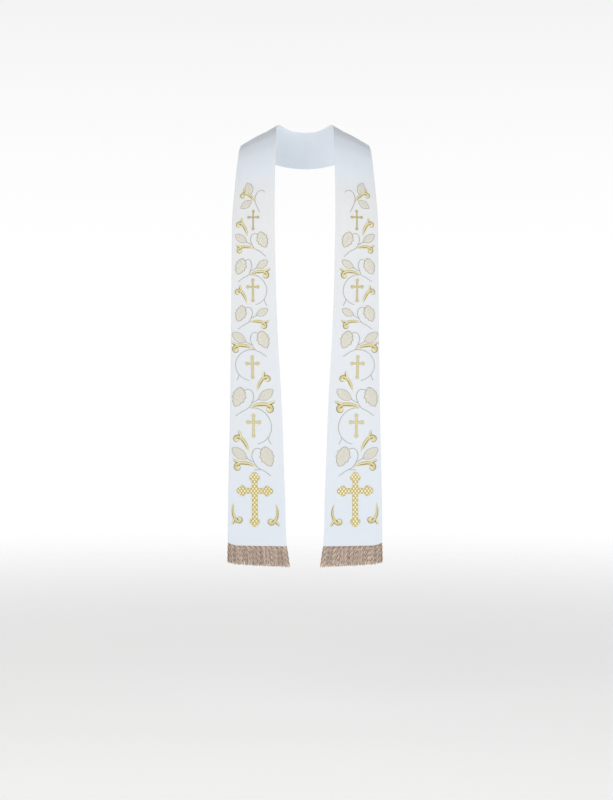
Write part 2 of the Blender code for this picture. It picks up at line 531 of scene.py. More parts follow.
def fit_node(
    tree: bpy.types.NodeTree, node: bpy.types.Node, settings: dict, **links: object
) -> None:
    """Gives a node its settings and its links.

    Args:
        tree: the node tree.
        node: the node.
        settings: properties by name, the value of an input by its number or name after "in:", and
            the values of inputs that follow each other by the first one's number after "from:".
        **links: inputs by name, with spaces as underscores, or by number after "n", each with the
            socket that feeds it.
    """
    for key, value in settings.items():
        if key.startswith("from:"):
            for number, part in enumerate(value, start=int(key[5:])):
                node.inputs[number].default_value = part
        elif key.startswith("in:"):
            node.inputs[int(key[3:]) if key[3:].isdigit() else key[3:]].default_value = value
        else:
            setattr(node, key, value)
    for key, source in links.items():
        slot = int(key[1:]) if key[0] == "n" and key[1:].isdigit() else key.replace("_", " ")
        tree.links.new(source, node.inputs[slot])


def add_node(
    tree: bpy.types.NodeTree, kind: str, settings: dict, **links: object
) -> bpy.types.Node:
    """Adds a node with its settings and its links.

    Args:
        tree: the node tree.
        kind: the node's type.
        settings: as for fit_node.
        **links: as for fit_node.

    Returns:
        The node.
    """
    node = tree.nodes.new(kind)
    fit_node(tree, node, settings, **links)
    return node


def new_material(name: str) -> tuple[bpy.types.Material, bpy.types.NodeTree, bpy.types.Node]:
    """Makes a node material.

    Args:
        name: the material's name.

    Returns:
        The material, its node tree and its Principled shader.
    """
    material = bpy.data.materials.new(name)
    material.use_nodes = True
    return material, material.node_tree, material.node_tree.nodes["Principled BSDF"]


class Bands(Enum):
    """Which way a wave texture's bands step; the value is how far apart they lie at scale 1."""

    X = 0.1 * np.pi
    DIAGONAL = 0.1 * np.pi * np.sqrt(2.0)


@dataclass(frozen=True)
class Ridges:
    """Threads side by side, as parallel ridges on the thread map; `wander` bends them a little."""

    pitch_mm: float
    strength: float
    depth: float
    bands: Bands = Bands.X
    wander: float = 0.0

    def add(
        self, tree: bpy.types.NodeTree, threads: bpy.types.NodeSocket
    ) -> tuple[bpy.types.NodeSocket, bpy.types.NodeSocket]:
        """Adds the ridges and the bump that they make.

        Args:
            tree: the node tree.
            threads: the socket that gives the thread map.

        Returns:
            The sockets that give the ridges' height, 0 to 1, and the bumped normal.
        """
        wave = {"wave_type": "BANDS", "bands_direction": self.bands.name, "in:Detail": 1.0}
        wave |= {"in:Scale": self.bands.value / self.pitch_mm, "in:Distortion": self.wander}
        height = add_node(tree, "ShaderNodeTexWave", wave, Vector=threads).outputs["Fac"]
        size = {"in:Strength": self.strength, "in:Distance": self.depth}
        return height, add_node(tree, "ShaderNodeBump", size, Height=height).outputs["Normal"]


@dataclass(frozen=True)
class Satin:
    """Stiff satin of fine matt polyester: off-white, a soft sheen, and a close diagonal weave.

    The real threads are 0.2 mm apart, too fine for any view here, so the weave is drawn 2.2 mm
    apart and very shallow. A faint cloudiness varies the white. Over the upper fronts the white is
    painted greyer and less blue, as painted shade for the dimmer, warmer light there; the two pairs
    of heights are where that comes in and where it fades out.
    """

    name: str
    colour: str = "#E0E6EE"
    # painted shade: the greyer, less blue white of the upper fronts
    cream: str = "#E0E1E3"
    cloud: str = "#F9FBFC"
    cream_starts: tuple[float, float] = (-0.10, -0.19)
    cream_fades: tuple[float, float] = (-1.00, -0.28)
    weave: Ridges = Ridges(pitch_mm=2.202, strength=0.10, depth=0.00012, bands=Bands.DIAGONAL)
    cloud_per_m: float = 9.0
    roughness: float = 0.52
    specular: float = 0.25
    sheen: float = 0.04
    sheen_roughness: float = 0.45

    def build(self) -> bpy.types.Material:
        """Makes the material: white with painted shade by height, clouded, over the weave's ridges.

        Returns:
            The material.
        """
        material, tree, shader = new_material(self.name)
        place = add_node(tree, "ShaderNodeTexCoord", {}).outputs["Object"]
        noise = {"in:Scale": self.cloud_per_m, "in:Detail": 3.0}
        cloud = add_node(tree, "ShaderNodeTexNoise", noise, Vector=place)
        colours = {"data_type": "RGBA", "blend_type": "MULTIPLY", "in:7": linear(self.cloud)}
        ground = self._ground(tree, place)
        tint = add_node(tree, "ShaderNodeMix", colours, n0=cloud.outputs["Fac"], n6=ground)
        threads = add_node(tree, "ShaderNodeUVMap", {"uv_map": "threads_mm"})
        _, normal = self.weave.add(tree, threads.outputs["UV"])
        gloss = {
            "in:Roughness": self.roughness,
            "in:Specular IOR Level": self.specular,
            "in:Sheen Weight": self.sheen,
            "in:Sheen Roughness": self.sheen_roughness,
        }
        fit_node(tree, shader, gloss, Base_Color=tint.outputs[2], Normal=normal)
        return material

    def _ground(
        self, tree: bpy.types.NodeTree, place: bpy.types.NodeSocket
    ) -> bpy.types.NodeSocket:
        """Adds the nodes that paint shade over the white, greyer and less blue, between two
        heights.

        Args:
            tree: the node tree.
            place: the socket that gives Object coordinates.

        Returns:
            The socket that gives the colour.
        """
        height = add_node(tree, "ShaderNodeSeparateXYZ", {}, n0=place).outputs["Z"]
        both = {}
        curves = {"n0": (self.cream_starts, "SMOOTHSTEP"), "n1": (self.cream_fades, "LINEAR")}
        for slot, (ends, curve) in curves.items():
            span = {"from:1": (*ends, 0.0, 1.0), "interpolation_type": curve}
            both[slot] = add_node(tree, "ShaderNodeMapRange", span, n0=height).outputs[0]
        share = add_node(tree, "ShaderNodeMath", {"operation": "MULTIPLY"}, **both)
        # the white turns to its painted shade by the share
        colours = {"data_type": "RGBA", "in:6": linear(self.colour), "in:7": linear(self.cream)}
        return add_node(tree, "ShaderNodeMix", colours, n0=share.outputs[0]).outputs[2]


@dataclass(frozen=True)
class StitchedThread:
    """Rayon or metallic embroidery thread, side by side: silky, each thread a small ridge.

    The ridges keep the thread's colour, and the hollows between them are painted darker, as painted
    shade. Real threads are 0.4 mm apart; they are drawn 0.8 mm apart so that close views show them.
    `tone` on the mesh darkens a thread too: as painted shade where it turns under at the edges and
    ends of a raised line, and as the thread's own darker tone in lines worked at a low tone.
    """

    name: str
    colour: str
    # painted shade in the hollows between threads, and the thread's own darker tone where the tone
    # is low
    hollow: str
    metallic: float = 0.0
    roughness: float = 0.42
    rows: Ridges = Ridges(pitch_mm=0.8, strength=0.5, depth=0.00025, wander=0.6)

    def build(self) -> bpy.types.Material:
        """Makes the material: the colour's share is the root of the ridge's height times the tone.

        Returns:
            The material.
        """
        material, tree, shader = new_material(self.name)
        threads = add_node(tree, "ShaderNodeUVMap", {"uv_map": "threads_mm"})
        height, normal = self.rows.add(tree, threads.outputs["UV"])
        tone = add_node(tree, "ShaderNodeAttribute", {"attribute_name": "tone"}).outputs["Fac"]
        product = add_node(tree, "ShaderNodeMath", {"operation": "MULTIPLY"}, n0=height, n1=tone)
        root = {"operation": "POWER", "in:1": 0.5}
        share = add_node(tree, "ShaderNodeMath", root, n0=product.outputs[0])
        colours = {"data_type": "RGBA", "in:6": linear(self.hollow), "in:7": linear(self.colour)}
        tint = add_node(tree, "ShaderNodeMix", colours, n0=share.outputs[0])
        gloss = {"in:Roughness": self.roughness, "in:Metallic": self.metallic}
        fit_node(tree, shader, gloss, Base_Color=tint.outputs[2], Normal=normal)
        return material


# How far apart the lattice's diamonds stand, across and up: coarser than real, so that they show
LATTICE_CELL_MM = (8.4, 11.6)
LATTICE_CORD = 0.16  # half the width of a cord, as a share of a cell


@dataclass(frozen=True)
class Lattice:
    """Couched gold cords crossing over pale yellow satin stitch, with a shaded edge beside each.

    `shade` is where the cord's colour starts and is full, in half widths of a cord from its middle.
    The lattice is drawn coarser than the real one, so that it shows, and so are the threads, 0.8 mm
    apart.
    """

    name: str
    ground: str = "#F5EBBE"
    cord: str = "#B7A666"
    shade: tuple[float, float] = (1.25, 0.8)
    roughness: float = 0.42
    metallic: float = 0.1
    rows: Ridges = Ridges(pitch_mm=0.8, strength=0.35, depth=0.0002)

    def build(self) -> bpy.types.Material:
        """Makes the material: places are counted in cells, and cords lie half way between them.

        Returns:
            The material.
        """
        material, tree, shader = new_material(self.name)
        threads = add_node(tree, "ShaderNodeUVMap", {"uv_map": "threads_mm"}).outputs["UV"]
        parts = add_node(tree, "ShaderNodeSeparateXYZ", {}, Vector=threads)
        cells, folds = {}, {}
        for axis, size in enumerate(LATTICE_CELL_MM):
            count = {"operation": "DIVIDE", "in:1": size}
            cell = add_node(tree, "ShaderNodeMath", count, n0=parts.outputs[axis])
            cells[f"n{axis}"] = cell.outputs[0]
        for way, operation in enumerate(("ADD", "SUBTRACT")):
            diagonal = add_node(tree, "ShaderNodeMath", {"operation": operation}, **cells)
            nearest = {"operation": "PINGPONG", "in:1": 0.5}
            fold = add_node(tree, "ShaderNodeMath", nearest, n0=diagonal.outputs[0])
            folds[f"n{way}"] = fold.outputs[0]
        most = add_node(tree, "ShaderNodeMath", {"operation": "MAXIMUM"}, **folds)
        edges = {"from:1": (*(0.5 - edge * LATTICE_CORD for edge in self.shade), 0.0, 1.0)}
        on_cord = add_node(tree, "ShaderNodeMapRange", edges, n0=most.outputs[0])
        colours = {"data_type": "RGBA", "in:6": linear(self.ground), "in:7": linear(self.cord)}
        tint = add_node(tree, "ShaderNodeMix", colours, n0=on_cord.outputs[0])
        _, normal = self.rows.add(tree, threads)
        gloss = {"in:Roughness": self.roughness, "in:Metallic": self.metallic}
        fit_node(tree, shader, gloss, Base_Color=tint.outputs[2], Normal=normal)
        return material


@dataclass(frozen=True)
class FringeThread:
    """Two-ply twisted viscose with a metallic wrap and a dull glint, its tone running brown to
    pale.

    A fine grain moves the tone by `grain_shift` either way at the ends of `grain_span`.
    """

    name: str
    # pale for the plies' ridges, a painted highlight, and brown for the grooves, painted shade
    pale: str = "#E9D5C4"
    brown: str = "#6B574A"
    grain_per_m: float = 420.0
    grain_span: tuple[float, float] = (0.3, 0.7)
    grain_shift: float = 0.22
    roughness: float = 0.45
    metallic: float = 0.15

    def build(self) -> bpy.types.Material:
        """Makes the material: the tone, moved by the grain, runs from brown to pale.

        Returns:
            The material.
        """
        material, tree, shader = new_material(self.name)
        tone = add_node(tree, "ShaderNodeAttribute", {"attribute_name": "tone"}).outputs["Fac"]
        place = add_node(tree, "ShaderNodeTexCoord", {}).outputs["Object"]
        noise = {"in:Scale": self.grain_per_m, "in:Detail": 2.0}
        grain = add_node(tree, "ShaderNodeTexNoise", noise, Vector=place).outputs["Fac"]
        shifts = {"from:1": (*self.grain_span, -self.grain_shift, self.grain_shift)}
        shift = add_node(tree, "ShaderNodeMapRange", shifts, n0=grain).outputs[0]
        total = {"operation": "ADD", "use_clamp": True}
        share = add_node(tree, "ShaderNodeMath", total, n0=tone, n1=shift)
        colours = {"data_type": "RGBA", "in:6": linear(self.brown), "in:7": linear(self.pale)}
        tint = add_node(tree, "ShaderNodeMix", colours, n0=share.outputs[0])
        gloss = {"in:Roughness": self.roughness, "in:Metallic": self.metallic}
        fit_node(tree, shader, gloss, Base_Color=tint.outputs[2])
        return material


# --------------------------------------------------------------------------------------------------
# Cloth
# --------------------------------------------------------------------------------------------------


@dataclass(frozen=True)
class ClothBand:
    """One half of the stole: a thin wall with rolled long edges, from centre back seam to hem.

    Sizes are in metres. Rows stand `neck_step` apart as far as `front_starts`, and then
    `front_step`. The long edges round over within `edge_roll` and the ends within `end_roll`, by
    `end_round` of a quarter round, and the wall keeps at least `least_wall` of its thickness.
    `seam_gap` is what lies open between the two halves.
    """

    form: StoleForm
    columns: int = 64
    neck_step: float = 0.0032
    front_step: float = 0.0065
    front_starts: float = 0.430
    edge_roll: float = 0.0046
    end_roll: float = 0.0018
    end_rows: int = 4
    end_round: float = 0.8
    seam_gap: float = 0.0002
    least_wall: float = 0.22

    def rows(self) -> np.ndarray:
        """Distances of the rows from the seam, closer where the cloth bends and at both ends.

        Returns:
            The rising distances in metres, (n,).
        """
        length = self.form.length
        near = np.linspace(0.0, self.front_starts, round(self.front_starts / self.neck_step))
        front = length - self.front_starts
        far = np.linspace(self.front_starts, length, round(front / self.front_step))
        end = np.linspace(0, self.end_roll, self.end_rows)
        return np.unique(np.concatenate((near, far, end, length - end)).round(6))

    def wall(self, distance: np.ndarray, across: np.ndarray, half: np.ndarray) -> np.ndarray:
        """Half the wall's thickness: a quarter round over each rolled edge and end, flat between.

        Args:
            distance: metres from the seam.
            across: metres from the middle.
            half: half of the band's width there.

        Returns:
            Half thicknesses in metres, of the arguments' shape.
        """
        over_edge = np.clip((np.abs(across) - (half - self.edge_roll)) / self.edge_roll, 0.0, 1.0)
        to_end = np.minimum(distance, self.form.length - distance)
        over_end = np.clip(1.0 - to_end / self.end_roll, 0.0, 1.0)
        at_edge = np.sqrt(np.clip(1.0 - over_edge**2, 0.0, 1.0))
        at_end = np.sqrt(np.clip(1.0 - self.end_round * over_end**2, 0.0, 1.0))
        return self.form.thickness / 2 * np.maximum(at_edge * at_end, self.least_wall)

    def build(self, finish: bpy.types.Material) -> bpy.types.Object:
        """Makes the wall: out over the outer face and back over the inner, closed all round.

        The columns stand at the sine of even angles, so they are closest over the rolled edges.

        Args:
            finish: the cloth's material.

        Returns:
            The piece.
        """
        distance = self.rows()[:, None]
        half = self.form.width(distance) / 2
        t = np.sin(np.linspace(-np.pi / 2, np.pi / 2, self.columns + 1))[None]
        across = half * t
        wall = self.wall(distance, across, half)
        outer = self.form.place(distance, across, wall)
        inner = self.form.place(distance, across, -wall)[:, ::-1]
        points = np.concatenate((outer, inner), axis=1)
        way = self.form.side.value
        past_seam = points[..., 0] * way < self.seam_gap / 2
        points[..., 0] = np.where(past_seam, way * self.seam_gap / 2, points[..., 0])
        spread = np.concatenate((across, across[:, ::-1], across[:, :1]), axis=1)
        threads = np.stack(np.broadcast_arrays(spread / MM, distance / MM), axis=-1)
        surface = Surface()
        surface.add(Grid(points, threads))
        piece = surface.to_object(f"satin_band_{self.form.side.word}", finish)
        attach(piece, BODY)
        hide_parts(f"band_{self.form.side.word}")
        return piece

    def flat_area(self) -> float:
        """Area of the cut cloth in square metres: its width summed along the middle."""
        distance = np.linspace(0.0, self.form.length, 400)
        return float(self.form.width(distance).mean() * self.form.length)


# --------------------------------------------------------------------------------------------------
# Thread work, drawn flat in millimetres: across the band, height above the hem, lift off the cloth
# --------------------------------------------------------------------------------------------------


class Thread(Enum):
    """The threads of the work, each a finish and a piece of its own."""

    # each second colour is the painted shade of the hollows and the thread's darker tone
    GOLD = StitchedThread("gold_satin_stitch", "#FFFAD2", "#C8B976", metallic=0.05)
    OLD_GOLD = StitchedThread("old_gold_satin_stitch", "#867844", "#6C5F32", metallic=0.1)
    CROSS = StitchedThread("pale_gold_cross_stitch", "#EEE6BC", "#A2924F", metallic=0.08)
    LATTICE = Lattice("couched_gold_lattice")
    LEAF = StitchedThread("beige_leaf_fill", "#E5E2D8", "#C9C5B8")
    LEAF_EDGE = StitchedThread("olive_leaf_outline", "#ABA377", "#868058")
    STEM = StitchedThread("grey_stem_stitch", "#B6B2A9", "#95918A")


SINK_MM = 0.25  # how far the work's foot goes into the cloth, so that no gap shows under it
FOOT_SHARE = 0.9  # how wide the foot is, as a share of the line above it
LEAST_HALF_MM = 0.12  # half the width of the finest thread end


def domed(
    width: np.ndarray, rise: np.ndarray, columns: int, flatness: float
) -> tuple[np.ndarray, np.ndarray]:
    """The ring round a raised line: a dome from edge to edge, and two points under the cloth.

    The dome's height is the rise times the root of one less the place across to the power
    `flatness`.

    Args:
        width: half widths along the line, (n,).
        rise: heights along the line, (n,).
        columns: faces over the dome, an odd number.
        flatness: 2 gives a round dome, more a flatter top.

    Returns:
        Offsets to the left and lifts, each (n, columns + 3).
    """
    place = np.cos(np.linspace(0.0, np.pi, columns + 1))
    height = np.sqrt(1.0 - np.abs(place) ** flatness)
    side = np.concatenate((place, (-FOOT_SHARE, FOOT_SHARE)))[None] * width[:, None]
    lift = np.concatenate((height[None] * rise[:, None], np.full((len(rise), 2), -SINK_MM)), axis=1)
    return side, lift


def raised_line(
    path: np.ndarray,
    width: Amount,
    rise: Amount,
    columns: int = 7,
    flatness: float = 2.0,
    slant: float = 0.35,
    closed: bool = False,
    tone: Amount = 1.0,
) -> Grid:
    """A line of thread work: a domed section carried along a path on the cloth.

    Args:
        path: places across and heights, (n, 2).
        width: half widths along it.
        rise: heights of the dome along it.
        columns: faces over the dome, an odd number.
        flatness: 2 gives a round dome, more a flatter top.
        slant: how far each thread runs on along the path for its way across.
        closed: whether the path ends where it starts.
        tone: brightness of its threads from 0 to 1, one number or one for each point of the
            section's rings.

    Returns:
        The grid, flat, with the map's first number along the path.
    """
    width, rise = (np.broadcast_to(size, len(path)).astype(float) for size in (width, rise))
    side, lift = domed(width, rise, columns, flatness)
    flat = path[:, None] + side[..., None] * left_of(path, closed)[:, None]
    points = np.concatenate((flat, lift[..., None]), axis=-1)
    run, spread = distances(path), np.concatenate((side, side[:, :1]), axis=1)
    if closed:
        run = np.append(run, run[-1] + np.linalg.norm(path[0] - path[-1]))
        spread = np.concatenate((spread, spread[:1]))
    threads = np.stack((run[:, None] + slant * spread, spread), axis=-1)
    return Grid(points, threads, tone, loop=closed)


@dataclass(frozen=True)
class Placement:
    """Where a motif stands on the cloth: its origin, the edge it leans to and its size."""

    height: float
    across: float
    lean: Lean = Lean.OUTER
    size: float = 1.0

    def lay(self, points: np.ndarray) -> np.ndarray:
        """Turns the motif's own places, right and up, into places on the cloth."""
        own = np.asarray(points, dtype=float) * self.size
        return own * (self.lean.value, 1.0) + (self.across, self.height)


@dataclass(frozen=True)
class SideLine:
    """A thin line worked beside a tapering one, tapered itself at both ends by the root of a sine.

    `span` is where it starts and ends along that line, from 0 to 1. `off` is how far to its left it
    lies and `width` its own half width, both in half widths of that line, and `rise` its height in
    heights of the tube. `blunt` is how far into the sine it starts, in radians, and `least_mm` is
    added to its half width.
    """

    thread: Thread
    span: tuple[float, float]
    off: float
    width: float
    tone: float = 1.0
    rise: float = 0.85
    blunt: float = 0.2
    least_mm: float = 0.08

    def draw(self, work: "ThreadWork", path: np.ndarray, left: np.ndarray, rise_mm: float) -> None:
        """Adds the line.

        Args:
            work: the thread work that gathers it.
            path: the line it lies beside, (n, 2).
            left: the step from that line to its left edge, (n, 2).
            rise_mm: height of the tube.
        """
        part = slice(*(round(len(path) * end) for end in self.span))
        side, half = (path + self.off * left)[part], np.linalg.norm(left[part], axis=1)
        taper = np.sqrt(np.sin(np.linspace(self.blunt, np.pi - self.blunt, len(side))))
        width = self.width * half * taper + self.least_mm
        work.line(self.thread, side, width, self.rise * rise_mm * taper, columns=3, tone=self.tone)


@dataclass(frozen=True)
class Horn:
    """A gold horn: a thick tube that bows to its left, curls up into a ball and throws a spur.

    `eye` is the ball's middle from the tail, in the motif's own millimetres. The tables give places
    along the line from tail to eye and to its left, and half widths, in shares of the distance
    between the two, and so does `spur` for the spur's tip. `shade` is how far to the tube's left
    the old gold line lies, in half widths. `bow` deepens the tube's bow and `slim` narrows its
    first part, from the inner side.
    """

    at: Placement
    eye: tuple[float, float]
    shade: float = -0.45
    bow: float = 1.0
    slim: float = 1.0
    spur: tuple[float, float] = (1.238, 0.378)
    step_mm: float = 1.1
    rise_mm: float = 1.3

    def draw(self, work: "ThreadWork") -> None:
        """Adds the tube with its shades and outlines, the curl's heart and shadow, and the spur.

        Args:
            work: the thread work that gathers it.
        """
        self._tube(work)
        heart, half = self._swept(HEART_PATH)
        work.line(Thread.GOLD, heart, half, HEART_RISE * self.rise_mm, tone=HEART_TONE)
        # painted shadow: a dark old gold line put in the curl's eye, where shade falls
        shadow, half = self._swept(SHADOW_PATH)
        work.line(Thread.OLD_GOLD, shadow, half, SHADOW_RISE * self.rise_mm, columns=3)
        root, tip = np.array(SPUR_PATH[0]), np.array(SPUR_PATH[-1])
        stretch = (np.append(self.spur, tip[2]) - root) / (tip - root)
        spur, half = self._swept(root + (np.array(SPUR_PATH) - root) * stretch)
        work.line(Thread.GOLD, spur, half, SPUR_RISE * self.rise_mm, slant=THREAD_SLANT)
        self._beside(work, spur, half, SPUR_LINES)

    def _tube(self, work: "ThreadWork") -> None:
        """Adds the tube, each thread painted darker towards the edges of its dome as painted shade,
        and the lines beside it.

        Args:
            work: the thread work that gathers it.
        """
        table = np.array(HORN_PATH)
        table[:, 1] *= np.interp(np.arange(len(table)), BOW_FADES, (self.bow, 1.0))
        path, full = self._swept(table)
        share = np.linspace(0.0, 1.0, len(path))
        half = full * np.interp(share, SLIM_FADES, (self.slim, 1.0))
        path = path + self._left(path, full - half)
        place = np.append(np.cos(np.linspace(0.0, np.pi, TUBE_COLUMNS + 1)), (1.0, 1.0))
        tone = np.interp(share, *np.transpose(TUBE_TONES))[:, None] * (1.0 - TUBE_FLANK_SHADE * place**2)
        rise = self.rise_mm * np.minimum(1.0, half / FULL_RISE_HALF_MM)
        look = {"columns": TUBE_COLUMNS, "slant": THREAD_SLANT, "tone": tone}
        work.line(Thread.GOLD, path, TUBE_INNER * half, rise, **look)
        way = np.sign(self.shade)
        shades = (
            SideLine(Thread.OLD_GOLD, (0.04, 0.64), self.shade, 0.28, rise=1.3),
            SideLine(Thread.GOLD, (0.08, 0.58), -0.94 * way, 0.15, tone=0.0),
            SideLine(Thread.GOLD, (0.12, 0.52), 0.97 * way, 0.12, tone=0.3),
            SideLine(Thread.OLD_GOLD, (0.54, 0.93), 0.84, 0.22, rise=1.0),
        )
        self._beside(work, path, half, shades)

    def _left(self, path: np.ndarray, off: np.ndarray) -> np.ndarray:
        """Steps to the left of a path in the motif's own frame, which may be mirrored."""
        return self.at.lean.value * left_of(path) * off[:, None]

    def _beside(
        self, work: "ThreadWork", path: np.ndarray, half: np.ndarray, lines: tuple[SideLine, ...]
    ) -> None:
        """Adds thin lines beside a path with its half widths."""
        for line in lines:
            line.draw(work, path, self._left(path, half), self.rise_mm)

    def _swept(self, table: Sequence[Sequence[float]]) -> tuple[np.ndarray, np.ndarray]:
        """A smooth path on the cloth through a table of shares.

        Args:
            table: places along and to the left of the line from tail to eye, and half widths, in
                shares of it.

        Returns:
            The path, (n, 2), and its half widths in millimetres, (n,).
        """
        rows = np.array(table)
        eye = np.array(self.eye)
        left = np.array((-eye[1], eye[0]))
        reach = float(np.hypot(*eye)) * self.at.size
        knots = self.at.lay(rows[:, :1] * eye + rows[:, 1:2] * left)
        fine = smooth_path(np.column_stack((knots, rows[:, 2:] * reach)), self.step_mm)
        return fine[:, :2], np.maximum(fine[:, 2], LEAST_HALF_MM)


THREAD_SLANT = 0.6  # how far a thread runs on along a horn for its way across
HEART_RISE, HEART_TONE = 0.75, 0.8  # of the ball's heart; the rises are in heights of the tube
SHADOW_RISE = 1.3  # of the painted shadow in the curl's eye, a dark old gold line
SPUR_RISE = 0.8
FULL_RISE_HALF_MM = 2.0  # where the tube is less than this half wide, it rises less
TUBE_COLUMNS = 7
TUBE_INNER = 0.90  # the tube's own half width, inside its outlines
TUBE_FLANK_SHADE = 0.4  # how much darker the tube is painted at its edges: painted shade where its dome turns down
BOW_FADES = (4, 7)  # the rows of the horn's path over which its own bow gives way to the plain one
SLIM_FADES = (0.35, 0.60)  # the shares of the tube over which it widens again
TUBE_TONES = (  # share of the tube from tail to curl, tone
    (0.0, 0.95),
    (0.12, 0.80),
    (0.30, 0.55),
    (0.50, 0.45),
    (0.62, 0.30),
    (0.71, 0.10),
    (0.79, 0.15),
    (0.88, 0.80),
    (1.0, 1.0),
)
HORN_PATH = (  # as the paths below: along the line from tail to eye, to its left, half width
    (0.00, 0.000, 0.012),
    (0.13, 0.062, 0.040),
    (0.27, 0.119, 0.064),
    (0.42, 0.160, 0.080),
    (0.60, 0.187, 0.088),
    (0.78, 0.193, 0.091),
    (0.92, 0.173, 0.090),
    (1.022, 0.118, 0.086),
    (1.079, 0.042, 0.083),
    (1.080, -0.041, 0.082),
    (1.028, -0.103, 0.080),
    (0.950, -0.107, 0.077),
    (0.902, -0.054, 0.072),
    (0.900, 0.010, 0.058),
    (0.950, 0.042, 0.038),
    (0.995, 0.026, 0.016),
)
HEART_PATH = (
    (0.90, -0.03, 0.010),
    (0.93, -0.03, 0.060),
    (0.98, -0.03, 0.070),
    (1.03, -0.03, 0.050),
    (1.06, -0.03, 0.010),
)
# painted shadow in the curl's eye
SHADOW_PATH = (
    (0.86, 0.085, 0.018),
    (0.93, 0.074, 0.026),
    (0.975, 0.042, 0.024),
    (0.985, 0.000, 0.012),
)
SPUR_PATH = (
    (0.82, 0.195, 0.042),
    (0.93, 0.230, 0.060),
    (1.035, 0.266, 0.062),
    (1.120, 0.310, 0.056),
    (1.188, 0.350, 0.048),
    (1.238, 0.378, 0.028),
)
SPUR_LINES = (
    SideLine(Thread.OLD_GOLD, (0.0, 1.0), -0.62, 0.42, rise=1.1),
    SideLine(Thread.GOLD, (0.1, 1.0), 0.90, 0.18, tone=0.0),
)


@dataclass(frozen=True)
class LeafShape:
    """The cut of a leaf, in shares of its length.

    `widths` and `belly` are for the left and the right half: twice each half's width, and a number
    below 1 where its widest place is before the middle, above 1 where it is past it. `blunt` is for
    the base and the tip, each rounder as it falls below 1. `teeth` is how many teeth stand on each
    side and `tooth` how deep they are, as a share of the half width; `point` is where along a tooth
    its point is.
    """

    widths: tuple[float, float]
    belly: tuple[float, float]
    blunt: tuple[float, float]
    teeth: float = 0.0
    tooth: float = 0.0
    point: float = 0.78

    def outline(self, count: int) -> np.ndarray:
        """The leaf's edge, once round, on an axis from its base (0, 0) to its tip (1, 0).

        The half width is the sine of the share of the length raised to `belly`, itself raised to
        `blunt`. Each tooth swells slowly, falls back sharply, and is drawn towards the tip; the
        teeth of the right half stand a little further on, and all fade out at the base and the tip.

        Args:
            count: how many points.

        Returns:
            Places along and to the left of the axis, (count, 2).
        """
        turn = np.linspace(0.0, 2.0 * np.pi, count, endpoint=False)
        share = (1.0 - np.cos(turn)) / 2.0
        side = np.where(turn < np.pi, 1.0, -1.0)
        width, belly = np.where(side > 0.0, *self.widths), np.where(side > 0.0, *self.belly)
        blunt = self.blunt[0] + (self.blunt[1] - self.blunt[0]) * share**2 * (3.0 - 2.0 * share)
        half = width / 2.0 * np.sin(np.pi * np.clip(share, 0.0, 1.0) ** belly) ** blunt
        phase = (share * self.teeth + TOOTH_STAGGER * (side < 0.0)) % 1.0
        rising, falling = (phase / self.point) ** TOOTH_SWELL, (1.0 - phase) / (1.0 - self.point)
        swell = np.where(phase < self.point, rising, falling)
        fade = np.sin(np.pi * share) ** TOOTH_FADE
        half = half * (1.0 + self.tooth * (swell - 0.5) * fade)
        along = share + TOOTH_LEAN * self.tooth * swell * fade / max(self.teeth, 1.0)
        return np.stack((along, side * half), axis=1)


TOOTH_STAGGER = 0.25  # how much further on the right half's teeth stand, in teeth
TOOTH_SWELL = 1.2  # the power by which a tooth swells
TOOTH_FADE = 0.4  # the power of a sine by which the teeth fade out
TOOTH_LEAN = 0.35  # how far a tooth is drawn towards the tip, for its height
JAGGED = LeafShape((0.72, 0.56), (0.84, 0.90), (0.74, 0.74), teeth=4.3, tooth=0.27)
PETAL = LeafShape((0.47, 0.57), (1.05, 1.0), (0.95, 0.57), teeth=3.5, tooth=0.06)
POINTED = LeafShape((0.60, 0.60), (0.95, 0.95), (0.70, 0.95), teeth=3.6, tooth=0.12)


# Shares of the way from a leaf's heart to its edge, and back under the cloth
LEAF_RINGS = (0.03, 0.25, 0.5, 0.72, 0.88, 0.97, 1.0, 1.0, 0.03)
LEAF_HEART = (0.5, 0.0)  # along the leaf's axis and to its left, in shares of it, as below
LEAF_FLATNESS = 5  # of the dome over the leaf, as for domed
LEAF_IN_DOME = 0.96  # how far the leaf's edge lies down that dome
MIDRIB = ((0.03, 0.0), (0.45, 0.015), (0.9, 0.0))
VEIN_STARTS = (0.22, 0.42, 0.62)  # where the side veins leave the axis
VEIN_REACH = 0.18  # how far to its left and right they go
SIDE_VEIN = ((0.0, 0.0), (0.09, 0.6), (0.2, 1.0))  # along from its start, share of its reach


